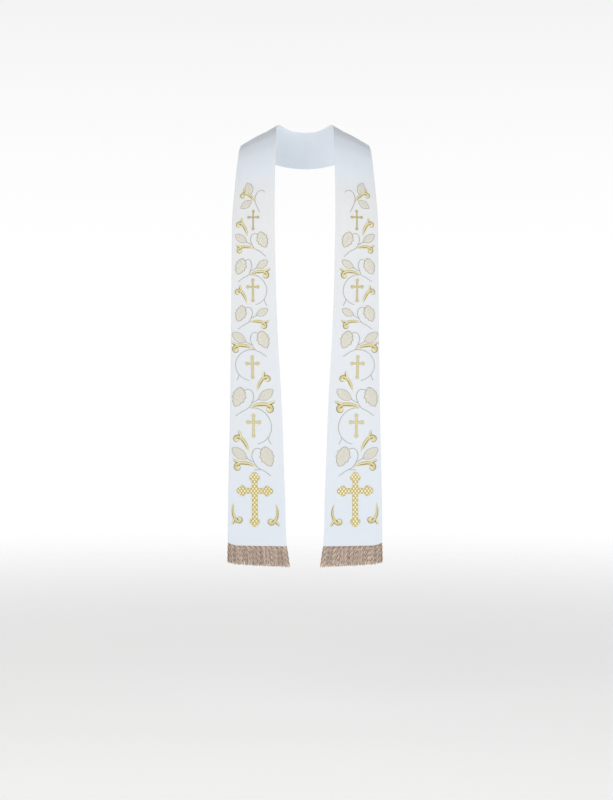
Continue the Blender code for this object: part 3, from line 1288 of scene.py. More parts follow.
@dataclass(frozen=True)
class Leaf:
    """A leaf of slanting fill stitches with an outline cord, a midrib and a few side veins.

    `slant` is how far back a stitch runs for its way from the midrib. `edge_over_mm` and
    `vein_over_mm` are how far the outline and the veins stand over the fill.
    """

    at: Placement
    stalk: tuple[float, float]
    tip: tuple[float, float]
    shape: LeafShape
    edge: Thread = Thread.LEAF_EDGE
    edge_points: int = 132
    rise_mm: float = 0.7
    slant: float = 0.7
    edge_half_mm: float = 0.6
    edge_over_mm: float = 0.35
    vein_half_mm: tuple[float, float] = (0.42, 0.14)
    vein_over_mm: float = 0.28
    vein_step_mm: float = 1.2

    def draw(self, work: "ThreadWork") -> None:
        """Adds the fill, the outline and the veins.

        Args:
            work: the thread work that gathers them.
        """
        edge = self.shape.outline(self.edge_points)
        self._fill(work, edge)
        rise = self.rise_mm + self.edge_over_mm
        work.line(self.edge, self._turned(edge), self.edge_half_mm, rise, closed=True, columns=5)
        for vein in self._veins():
            path = smooth_path(self._turned(vein), self.vein_step_mm)
            half = np.linspace(*self.vein_half_mm, len(path))
            rise = self.rise_mm + self.vein_over_mm
            work.line(Thread.LEAF, path, half, rise, columns=3, tone=0.0)

    def _fill(self, work: "ThreadWork", edge: np.ndarray) -> None:
        """Adds rings from the leaf's heart to its edge, down into the cloth and back to the heart.

        The lift is that of a dome which ends just past the leaf's edge.

        Args:
            work: the thread work that gathers them.
            edge: the leaf's edge on its axis, (n, 2).
        """
        heart, share = np.array(LEAF_HEART), np.array(LEAF_RINGS)
        lift = self.rise_mm * np.sqrt(1.0 - (share * LEAF_IN_DOME) ** LEAF_FLATNESS)
        lift[-2:] = -SINK_MM
        rings = heart + share[:, None, None] * (edge - heart)[None]
        flat = self._turned(rings)
        lifts = np.broadcast_to(lift[:, None, None], (*flat.shape[:2], 1))
        points = np.concatenate((flat, lifts), axis=-1)
        own = rings * self._length()
        slanted = own[..., 0] - self.slant * np.abs(own[..., 1])
        threads = np.stack((slanted, own[..., 1]), axis=-1)
        work.add(Thread.LEAF, Grid(points, np.concatenate((threads, threads[:, :1]), axis=1)))

    def _veins(self) -> list[np.ndarray]:
        """The midrib and the side veins.

        Returns:
            A few points of each, as shares along and to the left of the leaf's axis.
        """
        veins = [np.array(MIDRIB)]
        for start in VEIN_STARTS:
            for reach in (-VEIN_REACH, VEIN_REACH):
                veins.append(np.array([(start + along, reach * out) for along, out in SIDE_VEIN]))
        return veins

    def _length(self) -> float:
        """Length from stalk to tip on the cloth."""
        return float(np.hypot(*np.subtract(self.tip, self.stalk))) * self.at.size

    def _turned(self, shares: np.ndarray) -> np.ndarray:
        """Lays places on the leaf's axis on the cloth.

        Args:
            shares: places along and to the left of the axis, in shares of it, (..., 2).

        Returns:
            Places across and heights in millimetres, (..., 2).
        """
        stalk, axis = np.array(self.stalk), np.subtract(self.tip, self.stalk)
        left = np.array((-axis[1], axis[0]))
        return self.at.lay(stalk + shares[..., :1] * axis + shares[..., 1:] * left)


@dataclass(frozen=True)
class Spray:
    """A leafy spray: a stem, an arch to the large leaf, a twig to the small leaf, and a horn.

    `bulge` is how far the arch stands out from the fork, `leaflet` is the small leaf's tip, `foot`
    is where the stem starts, and `leaf` shifts the large leaf.
    """

    at: Placement
    eye: tuple[float, float]
    leaflet: tuple[float, float] = (61.2, 46.6)
    bulge: float = 11.6
    foot: tuple[float, float] = (-36.4, -21.2)
    leaf: tuple[float, float] = (0.0, 0.0)

    def draw(self, work: "ThreadWork") -> None:
        """Adds the stems, leaves and horn; the places are of the largest spray, from its fork.

        Args:
            work: the thread work that gathers them.
        """
        shift, out = np.array(self.leaf), self.bulge
        Leaf(self.at, shift + (-20.2, 50.5), shift + (-36.9, 3.0), JAGGED).draw(work)
        Leaf(self.at, (22.6, 20.6), self.leaflet, PETAL, Thread.STEM).draw(work)
        rising = ((out - 4.6, 13.5), (out, 29.0), (out - 3.4, 40.0))
        stem = (self.foot, (-18.0, -9.0), (-0.8, 0.8), *rising)
        arch = ((out + 0.1, 27.0), (out - 2.7, 39.2), (1.0, 45.6), (-15.5, 43.2))
        twig = ((out - 5.6, 11.5), (12.5, 14.6), (23.5, 21.3))
        for points in (stem, arch, twig):
            work.stem(self.at.lay(points))
        Horn(self.at, self.eye).draw(work)


@dataclass(frozen=True)
class RingTendril:
    """A tendril that goes most of the way round a cross, with a side shoot near its end.

    `reach` and `tall` are the arc's half width and half height, `pinch` is how much narrower its
    upper half is, `sag` how far its outermost point hangs, and `shoot` how far the side shoot
    falls.
    """

    at: Placement
    reach: float
    tall: float
    pinch: float = 0.06
    sag: float = 1.5
    shoot: float = 18.0
    arc_degrees: tuple[float, float] = (101.0, -79.0)
    shoot_degrees: float = -36.0

    def draw(self, work: "ThreadWork") -> None:
        """Adds the arc, from above the cross round the leaning side to below it, and the shoot.

        Args:
            work: the thread work that gathers them.
        """
        work.stem(self.at.lay(self._arc(np.linspace(*self.arc_degrees, 30))))
        foot = self._arc(np.array([self.shoot_degrees]))[0]
        shoot = np.array(((0.0, 0.0), (0.14, -0.52), (0.42, -1.0))) * self.shoot
        work.stem(self.at.lay(foot + shoot))

    def _arc(self, degrees: np.ndarray) -> np.ndarray:
        """Points of an ellipse, pinched above by the sine of the turn and sagging by its cosine.

        Args:
            degrees: turns from the outermost point, upwards, (n,).

        Returns:
            The motif's own places, (n, 2).
        """
        turn = np.radians(degrees)
        narrow = 1.0 - self.pinch * np.clip(np.sin(turn), 0.0, 1.0)
        across = self.reach * narrow * np.cos(turn)
        return np.stack((across, self.tall * np.sin(turn) - self.sag * np.cos(turn)), axis=1)


@dataclass(frozen=True)
class BuddedCross:
    """A small plain cross of satin stitch whose arms end in pointed buds; sizes in millimetres.

    `above` and `below` are the upright's reach from the crossing and `span` is from one arm's end
    to the other's. `shaft`, `arm` and `bud` are half widths, and a bud's middle lies `bud_place` of
    its own in from the end. `tilt` is how far the outer arm rises for its length, and `arm_rise`
    the arms' height, as a share of the upright's.
    """

    height: float
    across: float
    above: float
    below: float
    span: float
    shaft: float = 3.1
    arm: float = 2.3
    bud: float = 4.9
    bud_place: float = 1.15
    tone: float = 1.0
    tilt: float = 0.0
    rise_mm: float = 1.0
    arm_rise: float = 0.9

    def draw(self, work: "ThreadWork") -> None:
        """Adds the upright and the two arms, which lie a little lower.

        Args:
            work: the thread work that gathers them.
        """
        middle = np.array((self.across, self.height))
        upright = (middle + (0.0, self.above), middle - (0.0, self.below))
        half = self._half(self.shaft, self.above + self.below, 2)
        work.bar(upright, half, self.rise_mm, self.tone)
        half = self._half(self.arm, self.span / 2, 1)
        for way in (-1.0, 1.0):
            tip = middle + way * self.span / 2 * np.array((1.0, self.tilt))
            work.bar((tip, middle), half, self.rise_mm * self.arm_rise, self.tone)

    def _half(self, shaft: float, length: float, ends: int) -> "Outline":
        """The half width along a bar with a bud at its first end, or at both if `ends` is 2."""
        return Outline(shaft, length, ends, ((self.bud, self.bud * self.bud_place, 0.0),))


@dataclass(frozen=True)
class Outline:
    """Half width along a bar with round lobes at one or both ends.

    A lobe is its radius, its place from the end and how far out from the middle it lies. The first
    lobe comes to a point: `point` is how fast the half width grows from the end, and how much of
    the lobe's radius it grows to.
    """

    shaft: float
    length: float
    ends: int
    lobes: tuple[tuple[float, float, float], ...]
    point: tuple[float, float] = (0.95, 0.8)
    least: float = 0.15

    def __call__(self, run: np.ndarray) -> np.ndarray:
        """The widest of the shaft, the point and the lobes.

        Args:
            run: distances from the bar's first end, (n,).

        Returns:
            Half widths, (n,).
        """
        from_end = run if self.ends == 1 else np.minimum(run, self.length - run)
        first_radius, first_place, _ = self.lobes[0]
        half = np.where(from_end > first_place, self.shaft, 0.0)
        point = np.minimum(from_end * self.point[0], first_radius * self.point[1])
        half = np.maximum(half, point * (from_end < first_place))
        for radius, place, out in self.lobes:
            inside = radius**2 - (from_end - place) ** 2
            lobe = out + np.sqrt(np.maximum(inside, 0.0))
            half = np.maximum(half, np.where(inside > 0.0, lobe, 0.0))
        return np.maximum(half, self.least)


@dataclass(frozen=True)
class LatticeCross:
    """The large cross: flat arms with three-lobed ends, worked in a lattice of couched cord.

    Sizes are in millimetres. `lobes` are as an Outline's. The arms lie `arm_under` lower than the
    upright and start `arm_starts` half widths of the shaft from the crossing. Cords stand on the
    part of a bar that rises over `top_over`. The edging cord is `edge_half` half wide and rises to
    `edge_rise` of the bar's rise.
    """

    height: float = 137.7
    across: float = 3.8
    above: float = 46.8
    below: float = 90.2
    span: float = 91.4
    shaft: float = 6.3
    lobes: tuple[tuple[float, float, float], ...] = ((7.3, 7.3, 0.0), (5.8, 14.0, 6.9))
    arm_starts: float = 0.55
    arm_under: float = 0.06
    rise_mm: float = 1.5
    cord_rise_mm: float = 0.5
    edge_half: float = 0.85
    edge_rise: float = 0.85
    edge_step: float = 1.0
    top_over: float = 0.3
    step: float = 0.8
    columns: int = 27
    flatness: float = 9.0

    def draw(self, work: "ThreadWork") -> None:
        """Adds the upright and the arms, each with its edging cords.

        Args:
            work: the thread work that gathers them.
        """
        middle = np.array((self.across, self.height))
        upright = (middle + (0.0, self.above), middle - (0.0, self.below))
        outline = Outline(self.shaft, self.above + self.below, 2, self.lobes)
        self._bar(work, upright, outline, self.rise_mm)
        outline = Outline(self.shaft, self.span / 2, 1, self.lobes)
        for way in (-1.0, 1.0):
            offsets = (self.span / 2, self.arm_starts * self.shaft)
            arm = tuple(middle + (way * offset, 0.0) for offset in offsets)
            self._bar(work, arm, outline, self.rise_mm - self.arm_under)

    def _bar(
        self, work: "ThreadWork", ends: tuple[np.ndarray, ...], outline: Outline, rise: float
    ) -> None:
        """Adds one bar with its lattice raised, and the cord along both of its edges.

        Args:
            work: the thread work that gathers them.
            ends: the places where it starts and ends.
            outline: its half width.
            rise: its height.
        """
        run, path = straight(*ends, self.step)
        half = outline(run)
        grid = raised_line(path, half, rise, columns=self.columns, flatness=self.flatness)
        from_middle = grid.points[..., :2] - (self.across, self.height)
        over = grid.points[..., 2] > self.top_over
        on_top = (np.arange(grid.points.shape[1]) <= self.columns) & over
        grid.points[..., 2] += self.cord_rise_mm * self._cords(from_middle) * on_top
        grid.map_mm = np.concatenate((from_middle, from_middle[:, :1]), axis=1)
        work.add(Thread.LATTICE, grid)
        for way in (-1.0, 1.0):
            beside = path + way * left_of(path) * half[:, None]
            edge = smooth_path(beside[::2], self.edge_step)
            work.line(Thread.GOLD, edge, self.edge_half, rise * self.edge_rise, columns=5, tone=0.0)

    @staticmethod
    def _cords(place: np.ndarray) -> np.ndarray:
        """How high the crossing cords stand: a round top half way between whole numbers of cells.

        Args:
            place: places from the cross's middle in millimetres, (..., 2).

        Returns:
            Heights from 0 to 1, (...).
        """
        across, up = np.moveaxis(place / LATTICE_CELL_MM, -1, 0)
        cells = np.stack((across + up, across - up))
        from_cord = 0.5 - np.abs(cells - np.round(cells))
        return np.sqrt(np.clip(1.0 - (from_cord / LATTICE_CORD) ** 2, 0.0, 1.0)).max(axis=0)


@dataclass
class ThreadWork:
    """All the embroidery of one front, gathered by thread.

    A stem swells by `stem_swell` at each stitch of `stitch_mm`, and narrows to `stem_end` of itself
    over its last `stem_end_mm`. A bar's thread is painted darker, as painted shade where it turns
    under: to `bar_end` over `bar_rim_mm` at its ends and by `bar_edge` at its edges. A bar less
    than
    `bar_full_mm` half wide rises less.
    """

    form: StoleForm
    stem_half_mm: float = 0.75
    stem_rise_mm: float = 0.75
    stem_swell: float = 0.16
    stitch_mm: float = 2.6
    stem_step_mm: float = 0.65
    stem_end: float = 0.25
    stem_end_mm: float = 2.0
    bar_columns: int = 11
    bar_step_mm: float = 0.7
    bar_end: float = 0.2
    bar_rim_mm: float = 2.6
    bar_full_mm: float = 1.2
    bar_edge: float = 0.8
    surfaces: dict[Thread, Surface] = field(default_factory=dict)

    def add(self, thread: Thread, grid: Grid) -> None:
        """Lays a flat grid on the cloth and gathers it."""
        laid = replace(grid, points=self.form.on_face(grid.points))
        self.surfaces.setdefault(thread, Surface()).add(laid)

    def line(
        self, thread: Thread, path: np.ndarray, width: Amount, rise: Amount, **options: object
    ) -> None:
        """Adds a raised line of one thread; the options are those of raised_line."""
        self.add(thread, raised_line(path, width, rise, **options))

    def bar(self, ends: tuple[np.ndarray, ...], half: Outline, rise: float, tone: float) -> None:
        """Adds a straight bar of cross stitch.

        Args:
            ends: the places where it starts and ends.
            half: its half width along its length.
            rise: its height.
            tone: brightness of its threads from 0 to 1.
        """
        run, path = straight(*ends, self.bar_step_mm)
        width = half(run)
        across = np.append(np.cos(np.linspace(0.0, np.pi, self.bar_columns + 1)), (-1.0, 1.0))
        # painted shade: the thread darker towards the bar's ends and its edges
        rim = np.clip(np.minimum(run, run[-1] - run) / self.bar_rim_mm, self.bar_end, 1.0)
        tones = tone * rim[:, None] * (1.0 - self.bar_edge * np.abs(across) ** 3)
        options = {"columns": self.bar_columns, "flatness": 3.0, "slant": 0.5, "tone": tones}
        rises = rise * np.minimum(1.0, width / self.bar_full_mm)
        self.line(Thread.CROSS, path, width, rises, **options)

    def stem(self, points: np.ndarray) -> None:
        """Adds a stem of run stitches: a thin cord that swells at each, tapered at its ends.

        Args:
            points: a few places along it, (n, 2).
        """
        path = smooth_path(np.asarray(points), self.stem_step_mm)
        run = distances(path)
        swell = 1.0 + self.stem_swell * np.cos(2.0 * np.pi * run / self.stitch_mm)
        to_end = np.minimum(run, run[-1] - run)
        taper = np.clip(to_end / self.stem_end_mm, self.stem_end, 1.0)
        width, rise = (size * swell * taper for size in (self.stem_half_mm, self.stem_rise_mm))
        self.line(Thread.STEM, path, width, rise, columns=5, slant=1.2)

    def design(self) -> None:
        """Draws the whole front, from the top spray to the scrolls at the large cross's foot."""
        self._top_spray()
        for motif in (*SPRAYS, *TENDRILS):
            motif.draw(self)
        self.stem(np.array(TWIG))
        for motif in (*CROSSES, *HORNS, LatticeCross()):
            motif.draw(self)

    def _top_spray(self) -> None:
        """The small spray at the top: two pointed leaves, a horn between them and two tendrils."""
        here = Placement(869.0, -3.0)
        Leaf(here, (11.0, 10.5), (22.8, 43.0), POINTED, Thread.STEM).draw(self)
        Leaf(here, (8.6, -6.6), (35.8, -22.2), POINTED, Thread.STEM).draw(self)
        Horn(Placement(858.0, -4.0), (33.0, 22.0)).draw(self)
        ridge = smooth_path(here.lay(((5.5, 1.5), (13.5, 8.8), (21.0, 15.4), (27.3, 22.0))), 1.0)
        swell = np.sin(np.linspace(0.3, np.pi - 0.3, len(ridge)))
        self.line(Thread.GOLD, ridge, 1.5 * swell, 1.6 * swell, slant=THREAD_SLANT)
        falling = ((-15.2, -37.5), (-7.8, -23.2), (-2.4, -11.5), (-0.9, 2.6), (-6.6, 14.7))
        curled = ((-1.0, 1.0), (-6.4, 14.2), (-14.1, 17.8), (-20.5, 16.6), (-26.5, 11.0))
        for tendril in (falling, curled):
            self.stem(here.lay(tendril))

    def build(self, finishes: dict[Thread, bpy.types.Material]) -> list[bpy.types.Object]:
        """Draws the work and makes a piece of each thread.

        Args:
            finishes: a material for each thread.

        Returns:
            The pieces.
        """
        self.design()
        made = []
        for thread, surface in self.surfaces.items():
            name = f"{thread.name.lower()}_work_{self.form.side.word}"
            piece = surface.to_object(name, finishes[thread])
            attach(piece, BODY)
            made.append(piece)
        return made


SPRAYS = (
    Spray(Placement(742.6, -3.0, size=0.81), (47.5, -4.0), (58.8, 45.2), foot=(-37.0, -26.0)),
    Spray(Placement(677.6, 10.2, Lean.NECK, 0.82), (53.0, -2.0), (57.5, 42.0), bulge=8.5),
    Spray(Placement(559.0, 12.1, Lean.NECK, 0.82), (47.6, -11.2), (58.5, 39.5), leaf=(1.0, 0.8)),
    Spray(Placement(491.9, 0.4, Lean.OUTER, 0.90), (53.6, 0.9), (61.0, 46.0), bulge=10.0),
    Spray(Placement(345.6, 15.8, Lean.NECK, 1.00), (52.8, -2.5), (60.5, 44.6), leaf=(-0.3, 0.4)),
    Spray(Placement(197.4, -1.5, Lean.OUTER, 1.02), (48.9, 0.2), (61.2, 45.4), leaf=(0.5, -0.5)),
)
TENDRILS = (
    RingTendril(Placement(640.0, 2.0, Lean.NECK), 36.5, 37.5),
    RingTendril(Placement(452.0, 6.0, Lean.OUTER), 43.0, 39.0, pinch=0.0, sag=0.0, shoot=16.0),
    RingTendril(Placement(299.9, 4.5, Lean.NECK), 45.0, 45.3),
)
TWIG = ((-12.5, 190.8), (-2.0, 190.6), (6.0, 190.4))  # over the large cross's top
CROSSES = (
    BuddedCross(821.0, -0.9, 19.0, 33.0, 33.0, shaft=1.9, arm=2.0, bud=3.7, tone=0.2, tilt=0.05),
    BuddedCross(647.5, 1.0, 21.5, 39.0, 35.0, shaft=2.7, arm=2.4, bud=4.4, tone=0.55, tilt=0.03),
    BuddedCross(456.0, 5.7, 21.5, 39.5, 38.2, shaft=3.5, arm=2.7, bud=4.7, tone=0.85),
    BuddedCross(309.3, 5.6, 22.3, 39.2, 40.4, shaft=3.3, arm=3.2, bud=5.1),
)
HORNS = (
    Horn(Placement(773.0, 14.4), (22.2, 32.5)),
    Horn(Placement(605.4, 16.8), (23.8, 31.0)),
    Horn(Placement(384.0, -5.0, Lean.NECK), (26.5, 34.9)),
    Horn(Placement(232.5, 17.5), (31.7, 36.4)),
    Horn(Placement(109.6, 57.0), (-12.6, -45.3), 0.5, bow=1.10, slim=0.72, spur=(1.12, 0.45)),
    Horn(
        Placement(106.4, -48.6, Lean.NECK),
        (-10.5, -46.4),
        0.5,
        bow=1.17,
        slim=0.72,
        spur=(1.12, 0.50),
    ),
)


# --------------------------------------------------------------------------------------------------
# Fringe
# --------------------------------------------------------------------------------------------------


HEADING_TONES = (0.8, 0.9, 0.95)  # the first cord lies in the shade of the hem


@dataclass(frozen=True)
class Fringe:
    """Three twisted cords over a dense fringe of two-ply strands in two staggered layers.

    Sizes are in metres. `ply` is how much a strand's radius swells over its plies, and a cord
    tapers to `taper_to` of its radius over `taper` radii at its ends. `unevenness` is the most that
    a strand falls short and `sway` how far its foot strays, at most `sway_most` times that aside
    and outwards. It leans by the powers `lean` of its way down, and `bend` is how far it bends on
    the way, in sways. `root` is where a strand starts, as a share of the drop, `foot_lift` the
    share of the hem's drawn-up corner that its foot keeps, and `tip_glow` how much paler its tip
    is, below `tip_starts`. `tone_span` is how far a strand's tone strays. A heading cord has
    `heading_points` along it.
    """

    form: StoleForm
    strands: int = 124
    seed: int = 11
    reach: float = 0.985
    radius: float = 0.00124
    twist: float = 0.0135
    ply: float = 0.30
    taper: float = 1.4
    taper_to: float = 0.35
    layer_gap: float = 0.0009
    unevenness: float = 0.0028
    sway: float = 0.0014
    sway_most: tuple[float, float] = (1.6, 2.0)
    lean: tuple[float, float] = (2.4, 1.5)
    bend: float = 0.2
    root: float = 0.10
    foot_lift: float = 0.55
    tip_glow: float = 0.15
    tip_starts: float = 0.7
    tone_share: float = 0.95
    tone_span: tuple[float, float] = (-0.20, 0.22)
    cord_radius: float = 0.00155
    cord_first: float = 0.85
    cord_pitch: float = 1.6
    cord_phase: float = 0.9
    heading_points: int = 90
    faces_round: int = 8
    rows: int = 27

    def _lines(self, t: np.ndarray) -> tuple[np.ndarray, np.ndarray, np.ndarray, np.ndarray]:
        """The lines from the hem down to the fringe's foot.

        Args:
            t: places along the hem, from -1 at the neck edge to 1 at the outer edge, (n,).

        Returns:
            Their upper ends and their whole falls, (n, 3), and the directions across and outwards,
            (3,).
        """
        ends = np.array([self.form.length, self.form.length + self.form.fringe_drop])
        middle, across, outwards, half, crown = self.form.frame_at(ends)
        reach, bow = half[:, None] * t[None], crown[:, None] * (1.0 - t[None] ** 2)
        points = middle[:, None] + reach[..., None] * across[:, None]
        points = points + bow[..., None] * outwards[:, None]
        kept = np.array(((1.0,), (self.foot_lift,)))
        points[..., 2] += self.form.corner_lift * self.form.corner(t) ** 2 * kept
        return points[0], points[1] - points[0], across[0], outwards[0]

    def _twisted(
        self,
        centres: np.ndarray,
        radius: float,
        run: np.ndarray,
        phase: np.ndarray,
        sides: tuple[np.ndarray, np.ndarray],
    ) -> Grid:
        """Two-ply cords: round each centre line a ring of two lobes that turns along the cord.

        The ring's radius is the cord's, times one and a share of the cosine of twice the angle less
        the twist; that cosine is also the tone, so the plies' ridges are painted pale, as a painted
        highlight, and the grooves between them brown, as painted shade, over the thread's own
        beige-brown.

        Args:
            centres: centre lines, (cords, rows, 3).
            radius: the cords' radius.
            run: distances along them, (rows,).
            phase: where each cord's twist starts, (cords,).
            sides: two unit vectors across the cords.

        Returns:
            The grid of all the cords.
        """
        angle = np.linspace(0.0, 2.0 * np.pi, self.faces_round, endpoint=False)
        twist = 2.0 * np.pi * run[None, :, None] / self.twist + phase[:, None, None]
        lobes = np.cos(2.0 * angle[None, None] - twist)
        to_end = np.minimum(run, run[-1] - run)
        ends = np.clip(to_end / (self.taper * radius), self.taper_to, 1.0)[None, :, None]
        reach = radius * ends * (1.0 + self.ply * lobes)
        points = centres[:, :, None] + (reach * np.cos(angle))[..., None] * sides[0]
        points = points + (reach * np.sin(angle))[..., None] * sides[1]
        rows = np.broadcast_to(run[:, None] / MM, (len(run), self.faces_round + 1))
        turn = np.broadcast_to(np.arange(self.faces_round + 1.0), rows.shape)
        # the tone pale on the ridges and brown in the grooves: painted highlight and painted shade
        return Grid(points, np.stack((rows, turn), axis=-1), 0.5 + 0.5 * lobes)

    def _strands(self, surface: Surface) -> None:
        """Adds the hanging strands, each with its own length, lean, twist and tone.

        A strand leaves its place on the hem in two ways: it bends by the sine of its way down, and
        leans by a power of it, aside and outwards. The random draws keep this order: length, lean,
        bend, twist, tone.

        Args:
            surface: the surface that gathers them.
        """
        random = np.random.default_rng(self.seed)
        hem, fall, across, outwards = self._lines(np.linspace(-1.0, 1.0, self.strands) * self.reach)
        length = 1.0 - self.unevenness / self.form.fringe_drop * random.random(self.strands)
        share = np.linspace(self.root, 1.0, self.rows)
        drop = share[None, :, None] * (fall * length[:, None])[:, None]
        layer = np.where(np.arange(self.strands) % 2, 1.0, -1.0) * self.layer_gap
        most = self.sway * np.array(self.sway_most)
        lean = np.clip(random.normal(0.0, self.sway, (self.strands, 2)), -most, most)
        bend = random.normal(0.0, self.bend * self.sway, (self.strands, 1))
        side = lean[:, :1] * share ** self.lean[0] + np.sin(share * np.pi)[None] * bend
        out = layer[:, None] + lean[:, 1:] * share ** self.lean[1]
        centres = hem[:, None] + drop + side[..., None] * across + out[..., None] * outwards
        phase = random.uniform(0.0, 2.0 * np.pi, self.strands)
        run = share * self.form.fringe_drop
        grid = self._twisted(centres, self.radius, run, phase, (across, outwards))
        tip = np.interp(share, (self.tip_starts, 1.0), (0.0, self.tip_glow))[None, :, None]
        own = random.uniform(*self.tone_span, (self.strands, 1, 1))
        grid.tone = np.clip(grid.tone * self.tone_share + own + tip, 0.0, 1.0)
        self._finish(surface, grid)

    def _heading(self, surface: Surface) -> None:
        """Adds the three cords of the heading, side by side down from the hem.

        Args:
            surface: the surface that gathers them.
        """
        hem, fall, _, outwards = self._lines(np.linspace(-1.0, 1.0, self.heading_points))
        run = distances(hem)
        down = fall[len(fall) // 2] / np.linalg.norm(fall[len(fall) // 2])
        for number, tone in enumerate(HEADING_TONES):
            drop = self.cord_radius * (self.cord_first + self.cord_pitch * number)
            centres, phase = (hem + drop * down)[None], np.array([self.cord_phase * number])
            grid = self._twisted(centres, self.cord_radius, run, phase, (down, outwards))
            grid.tone = grid.tone * tone
            self._finish(surface, grid)

    def _finish(self, surface: Surface, grid: Grid) -> None:
        """Turns the grid to the band's side and gathers it."""
        grid.points[..., 0] *= self.form.side.value
        surface.add(grid)

    def build(self, finish: bpy.types.Material) -> bpy.types.Object:
        """Makes the fringe of one hem.

        Args:
            finish: the fringe's material.

        Returns:
            The piece.
        """
        surface = Surface()
        self._heading(surface)
        self._strands(surface)
        piece = surface.to_object(f"twisted_fringe_{self.form.side.word}", finish)
        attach(piece, BODY)
        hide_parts(f"fringe_{self.form.side.word}")
        return piece


# --------------------------------------------------------------------------------------------------
# Studio
# --------------------------------------------------------------------------------------------------


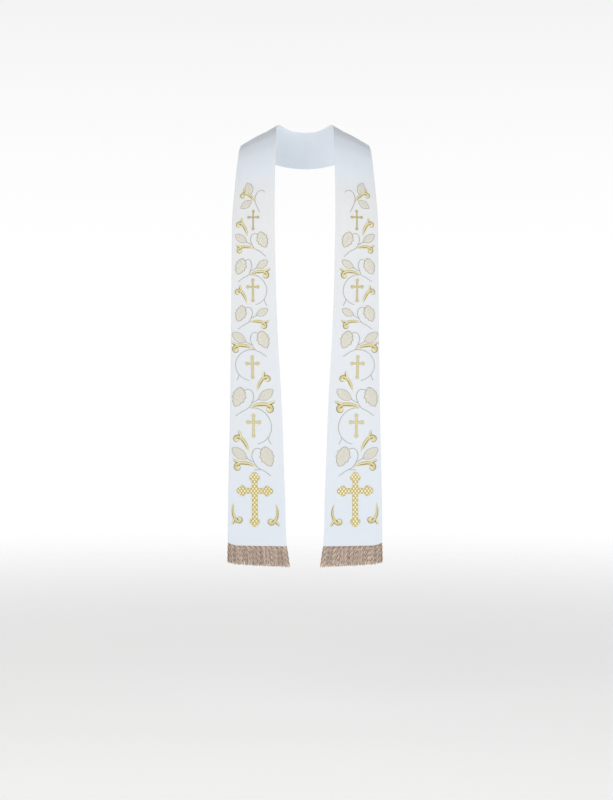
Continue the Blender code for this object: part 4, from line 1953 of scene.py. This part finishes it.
@dataclass(frozen=True)
class Studio:
    """A white studio: a pale floor that fades into white, an even surround and three soft lights.

    Sizes are in metres. The floor's paint is whole inside the first radius of `floor_fades` and
    gone past the second, and it glows faintly so that it stays pale. The surround's brightness goes
    from the first to the second number of `sky_strengths` over `sky_heights`, the sines of two
    heights over the horizon.
    """

    floor_z: float = -1.52
    floor_radius: float = 9.0
    floor_fades: tuple[float, float] = (1.0, 6.5)
    floor_colour: str = "#FBFBFB"
    floor_glow: float = 0.3
    sky_heights: tuple[float, float] = (0.06, 0.80)
    sky_strengths: tuple[float, float] = (1.0, 0.24)
    light_size: float = 2.4
    light_aim: tuple[float, float, float] = (0.0, -0.1, -0.5)
    back_run: tuple[float, float, float] = (-0.15, -1.0, -0.22)
    back_strength: float = 0.40
    back_angle: float = 1.2
    camera_distance: float = 4.2
    front_y: float = -0.170
    camera_height: float = -0.695
    camera_shift: float = 0.00375
    frame_px: float = 800.0
    mm_per_px: float = 2.5
    sensor_mm: float = 36.0

    def build(self) -> None:
        """Makes the floor, the surround, the lights and the camera."""
        bpy.context.scene.view_settings.view_transform = "Standard"
        self._floor()
        self._surround()
        self._light("key_light", (-1.6, -3.2, 0.6), 30.0, "#FFFDF6")
        self._light("fill_light", (2.2, -3.0, -1.1), 34.3, "#FBFCFF")
        self._back_light()
        self._camera()

    def _floor(self) -> None:
        """A round floor of matt white paint that fades out, so that no horizon shows."""
        bpy.ops.mesh.primitive_circle_add(vertices=96, radius=self.floor_radius, fill_type="NGON")
        floor = bpy.context.object
        floor.name = "studio_floor"
        floor.location = (0.0, 0.0, self.floor_z)
        material, tree, shader = new_material("matt_white_floor_paint")
        place = add_node(tree, "ShaderNodeTexCoord", {})
        length = {"operation": "LENGTH"}
        radius = add_node(tree, "ShaderNodeVectorMath", length, n0=place.outputs["Object"])
        fades = {"from:1": (*self.floor_fades, 1.0, 0.0), "interpolation_type": "SMOOTHSTEP"}
        fade = add_node(tree, "ShaderNodeMapRange", fades, n0=radius.outputs["Value"])
        paint = {
            "in:Base Color": linear(self.floor_colour),
            "in:Roughness": 0.9,
            "in:Specular IOR Level": 0.0,
            "in:Emission Color": linear("#FFFFFF"),
            "in:Emission Strength": self.floor_glow,
        }
        fit_node(tree, shader, paint, Alpha=fade.outputs[0])
        floor.data.materials.append(material)

    def _surround(self) -> None:
        """White round the horizon and below it, greyer overhead."""
        world = bpy.data.worlds.new("white_surround")
        bpy.context.scene.world = world
        world.use_nodes = True
        tree = world.node_tree
        place = add_node(tree, "ShaderNodeTexCoord", {})
        parts = add_node(tree, "ShaderNodeSeparateXYZ", {}, Vector=place.outputs["Generated"])
        shades = {"from:1": (*self.sky_heights, *self.sky_strengths)}
        shades |= {"interpolation_type": "SMOOTHSTEP"}
        shade = add_node(tree, "ShaderNodeMapRange", shades, n0=parts.outputs["Z"])
        white = {"in:Color": linear("#FFFFFF")}
        fit_node(tree, tree.nodes["Background"], white, Strength=shade.outputs[0])

    def _light(self, name: str, place: tuple[float, ...], power: float, tint: str) -> None:
        """A square soft light that faces the stole; views from behind the stole look past it.

        Args:
            name: the light's name.
            place: its middle.
            power: its power in watts.
            tint: its colour in sRGB hex.
        """
        light = self._hang(name, "AREA", power, Vector(self.light_aim) - Vector(place))
        light.location = place
        light.visible_camera = False
        light.data.size = self.light_size
        light.data.color = linear(tint)[:3]

    @staticmethod
    def _hang(name: str, kind: str, power: float, run: Vector) -> bpy.types.Object:
        """Adds a light.

        Args:
            name: its name.
            kind: its type.
            power: its power in watts, or a sun's strength.
            run: the direction that it shines in.

        Returns:
            The light's object.
        """
        data = bpy.data.lights.new(name, kind)
        data.energy = power
        light = bpy.data.objects.new(name, data)
        light.rotation_euler = run.to_track_quat("-Z", "Y").to_euler()
        bpy.context.scene.collection.objects.link(light)
        return light

    def _back_light(self) -> None:
        """A faint, very soft light from low behind, even over the whole floor."""
        light = self._hang("back_light", "SUN", self.back_strength, Vector(self.back_run))
        light.data.angle = self.back_angle

    def _camera(self) -> None:
        """A level camera in front of the stole; its lens shows `mm_per_px` at the stole's front."""
        data = bpy.data.cameras.new("front_camera")
        data.sensor_width = self.sensor_mm
        data.lens = self.sensor_mm * self.camera_distance / (self.frame_px * self.mm_per_px * MM)
        camera = bpy.data.objects.new("front_camera", data)
        y = self.front_y - self.camera_distance
        camera.location = (self.camera_shift, y, self.camera_height)
        camera.rotation_euler = (np.pi / 2, 0.0, 0.0)
        bpy.context.scene.collection.objects.link(camera)
        bpy.context.scene.camera = camera


def main() -> None:
    """Builds the studio and both halves of the stole, and reports each piece."""
    logging.basicConfig(level=logging.INFO, format="%(name)s: %(message)s")
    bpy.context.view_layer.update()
    Studio().build()
    finishes = {thread: thread.value.build() for thread in Thread}
    satin = Satin("off_white_satin").build()
    fringe_finish = FringeThread("twisted_metallic_fringe").build()
    for side in Side:
        form = StoleForm(side)
        band = ClothBand(form)
        cloth = band.build(satin)
        fringe = Fringe(form).build(fringe_finish)
        work = ThreadWork(form).build(finishes)
        flat = (max(section.width for section in SECTIONS[:-1]), form.length)
        band.flat_area()
        for piece in (cloth, fringe, *work):
            LOG.info("%s: %d faces", piece.name, len(piece.data.polygons))


if __name__ == "__main__":
    main()
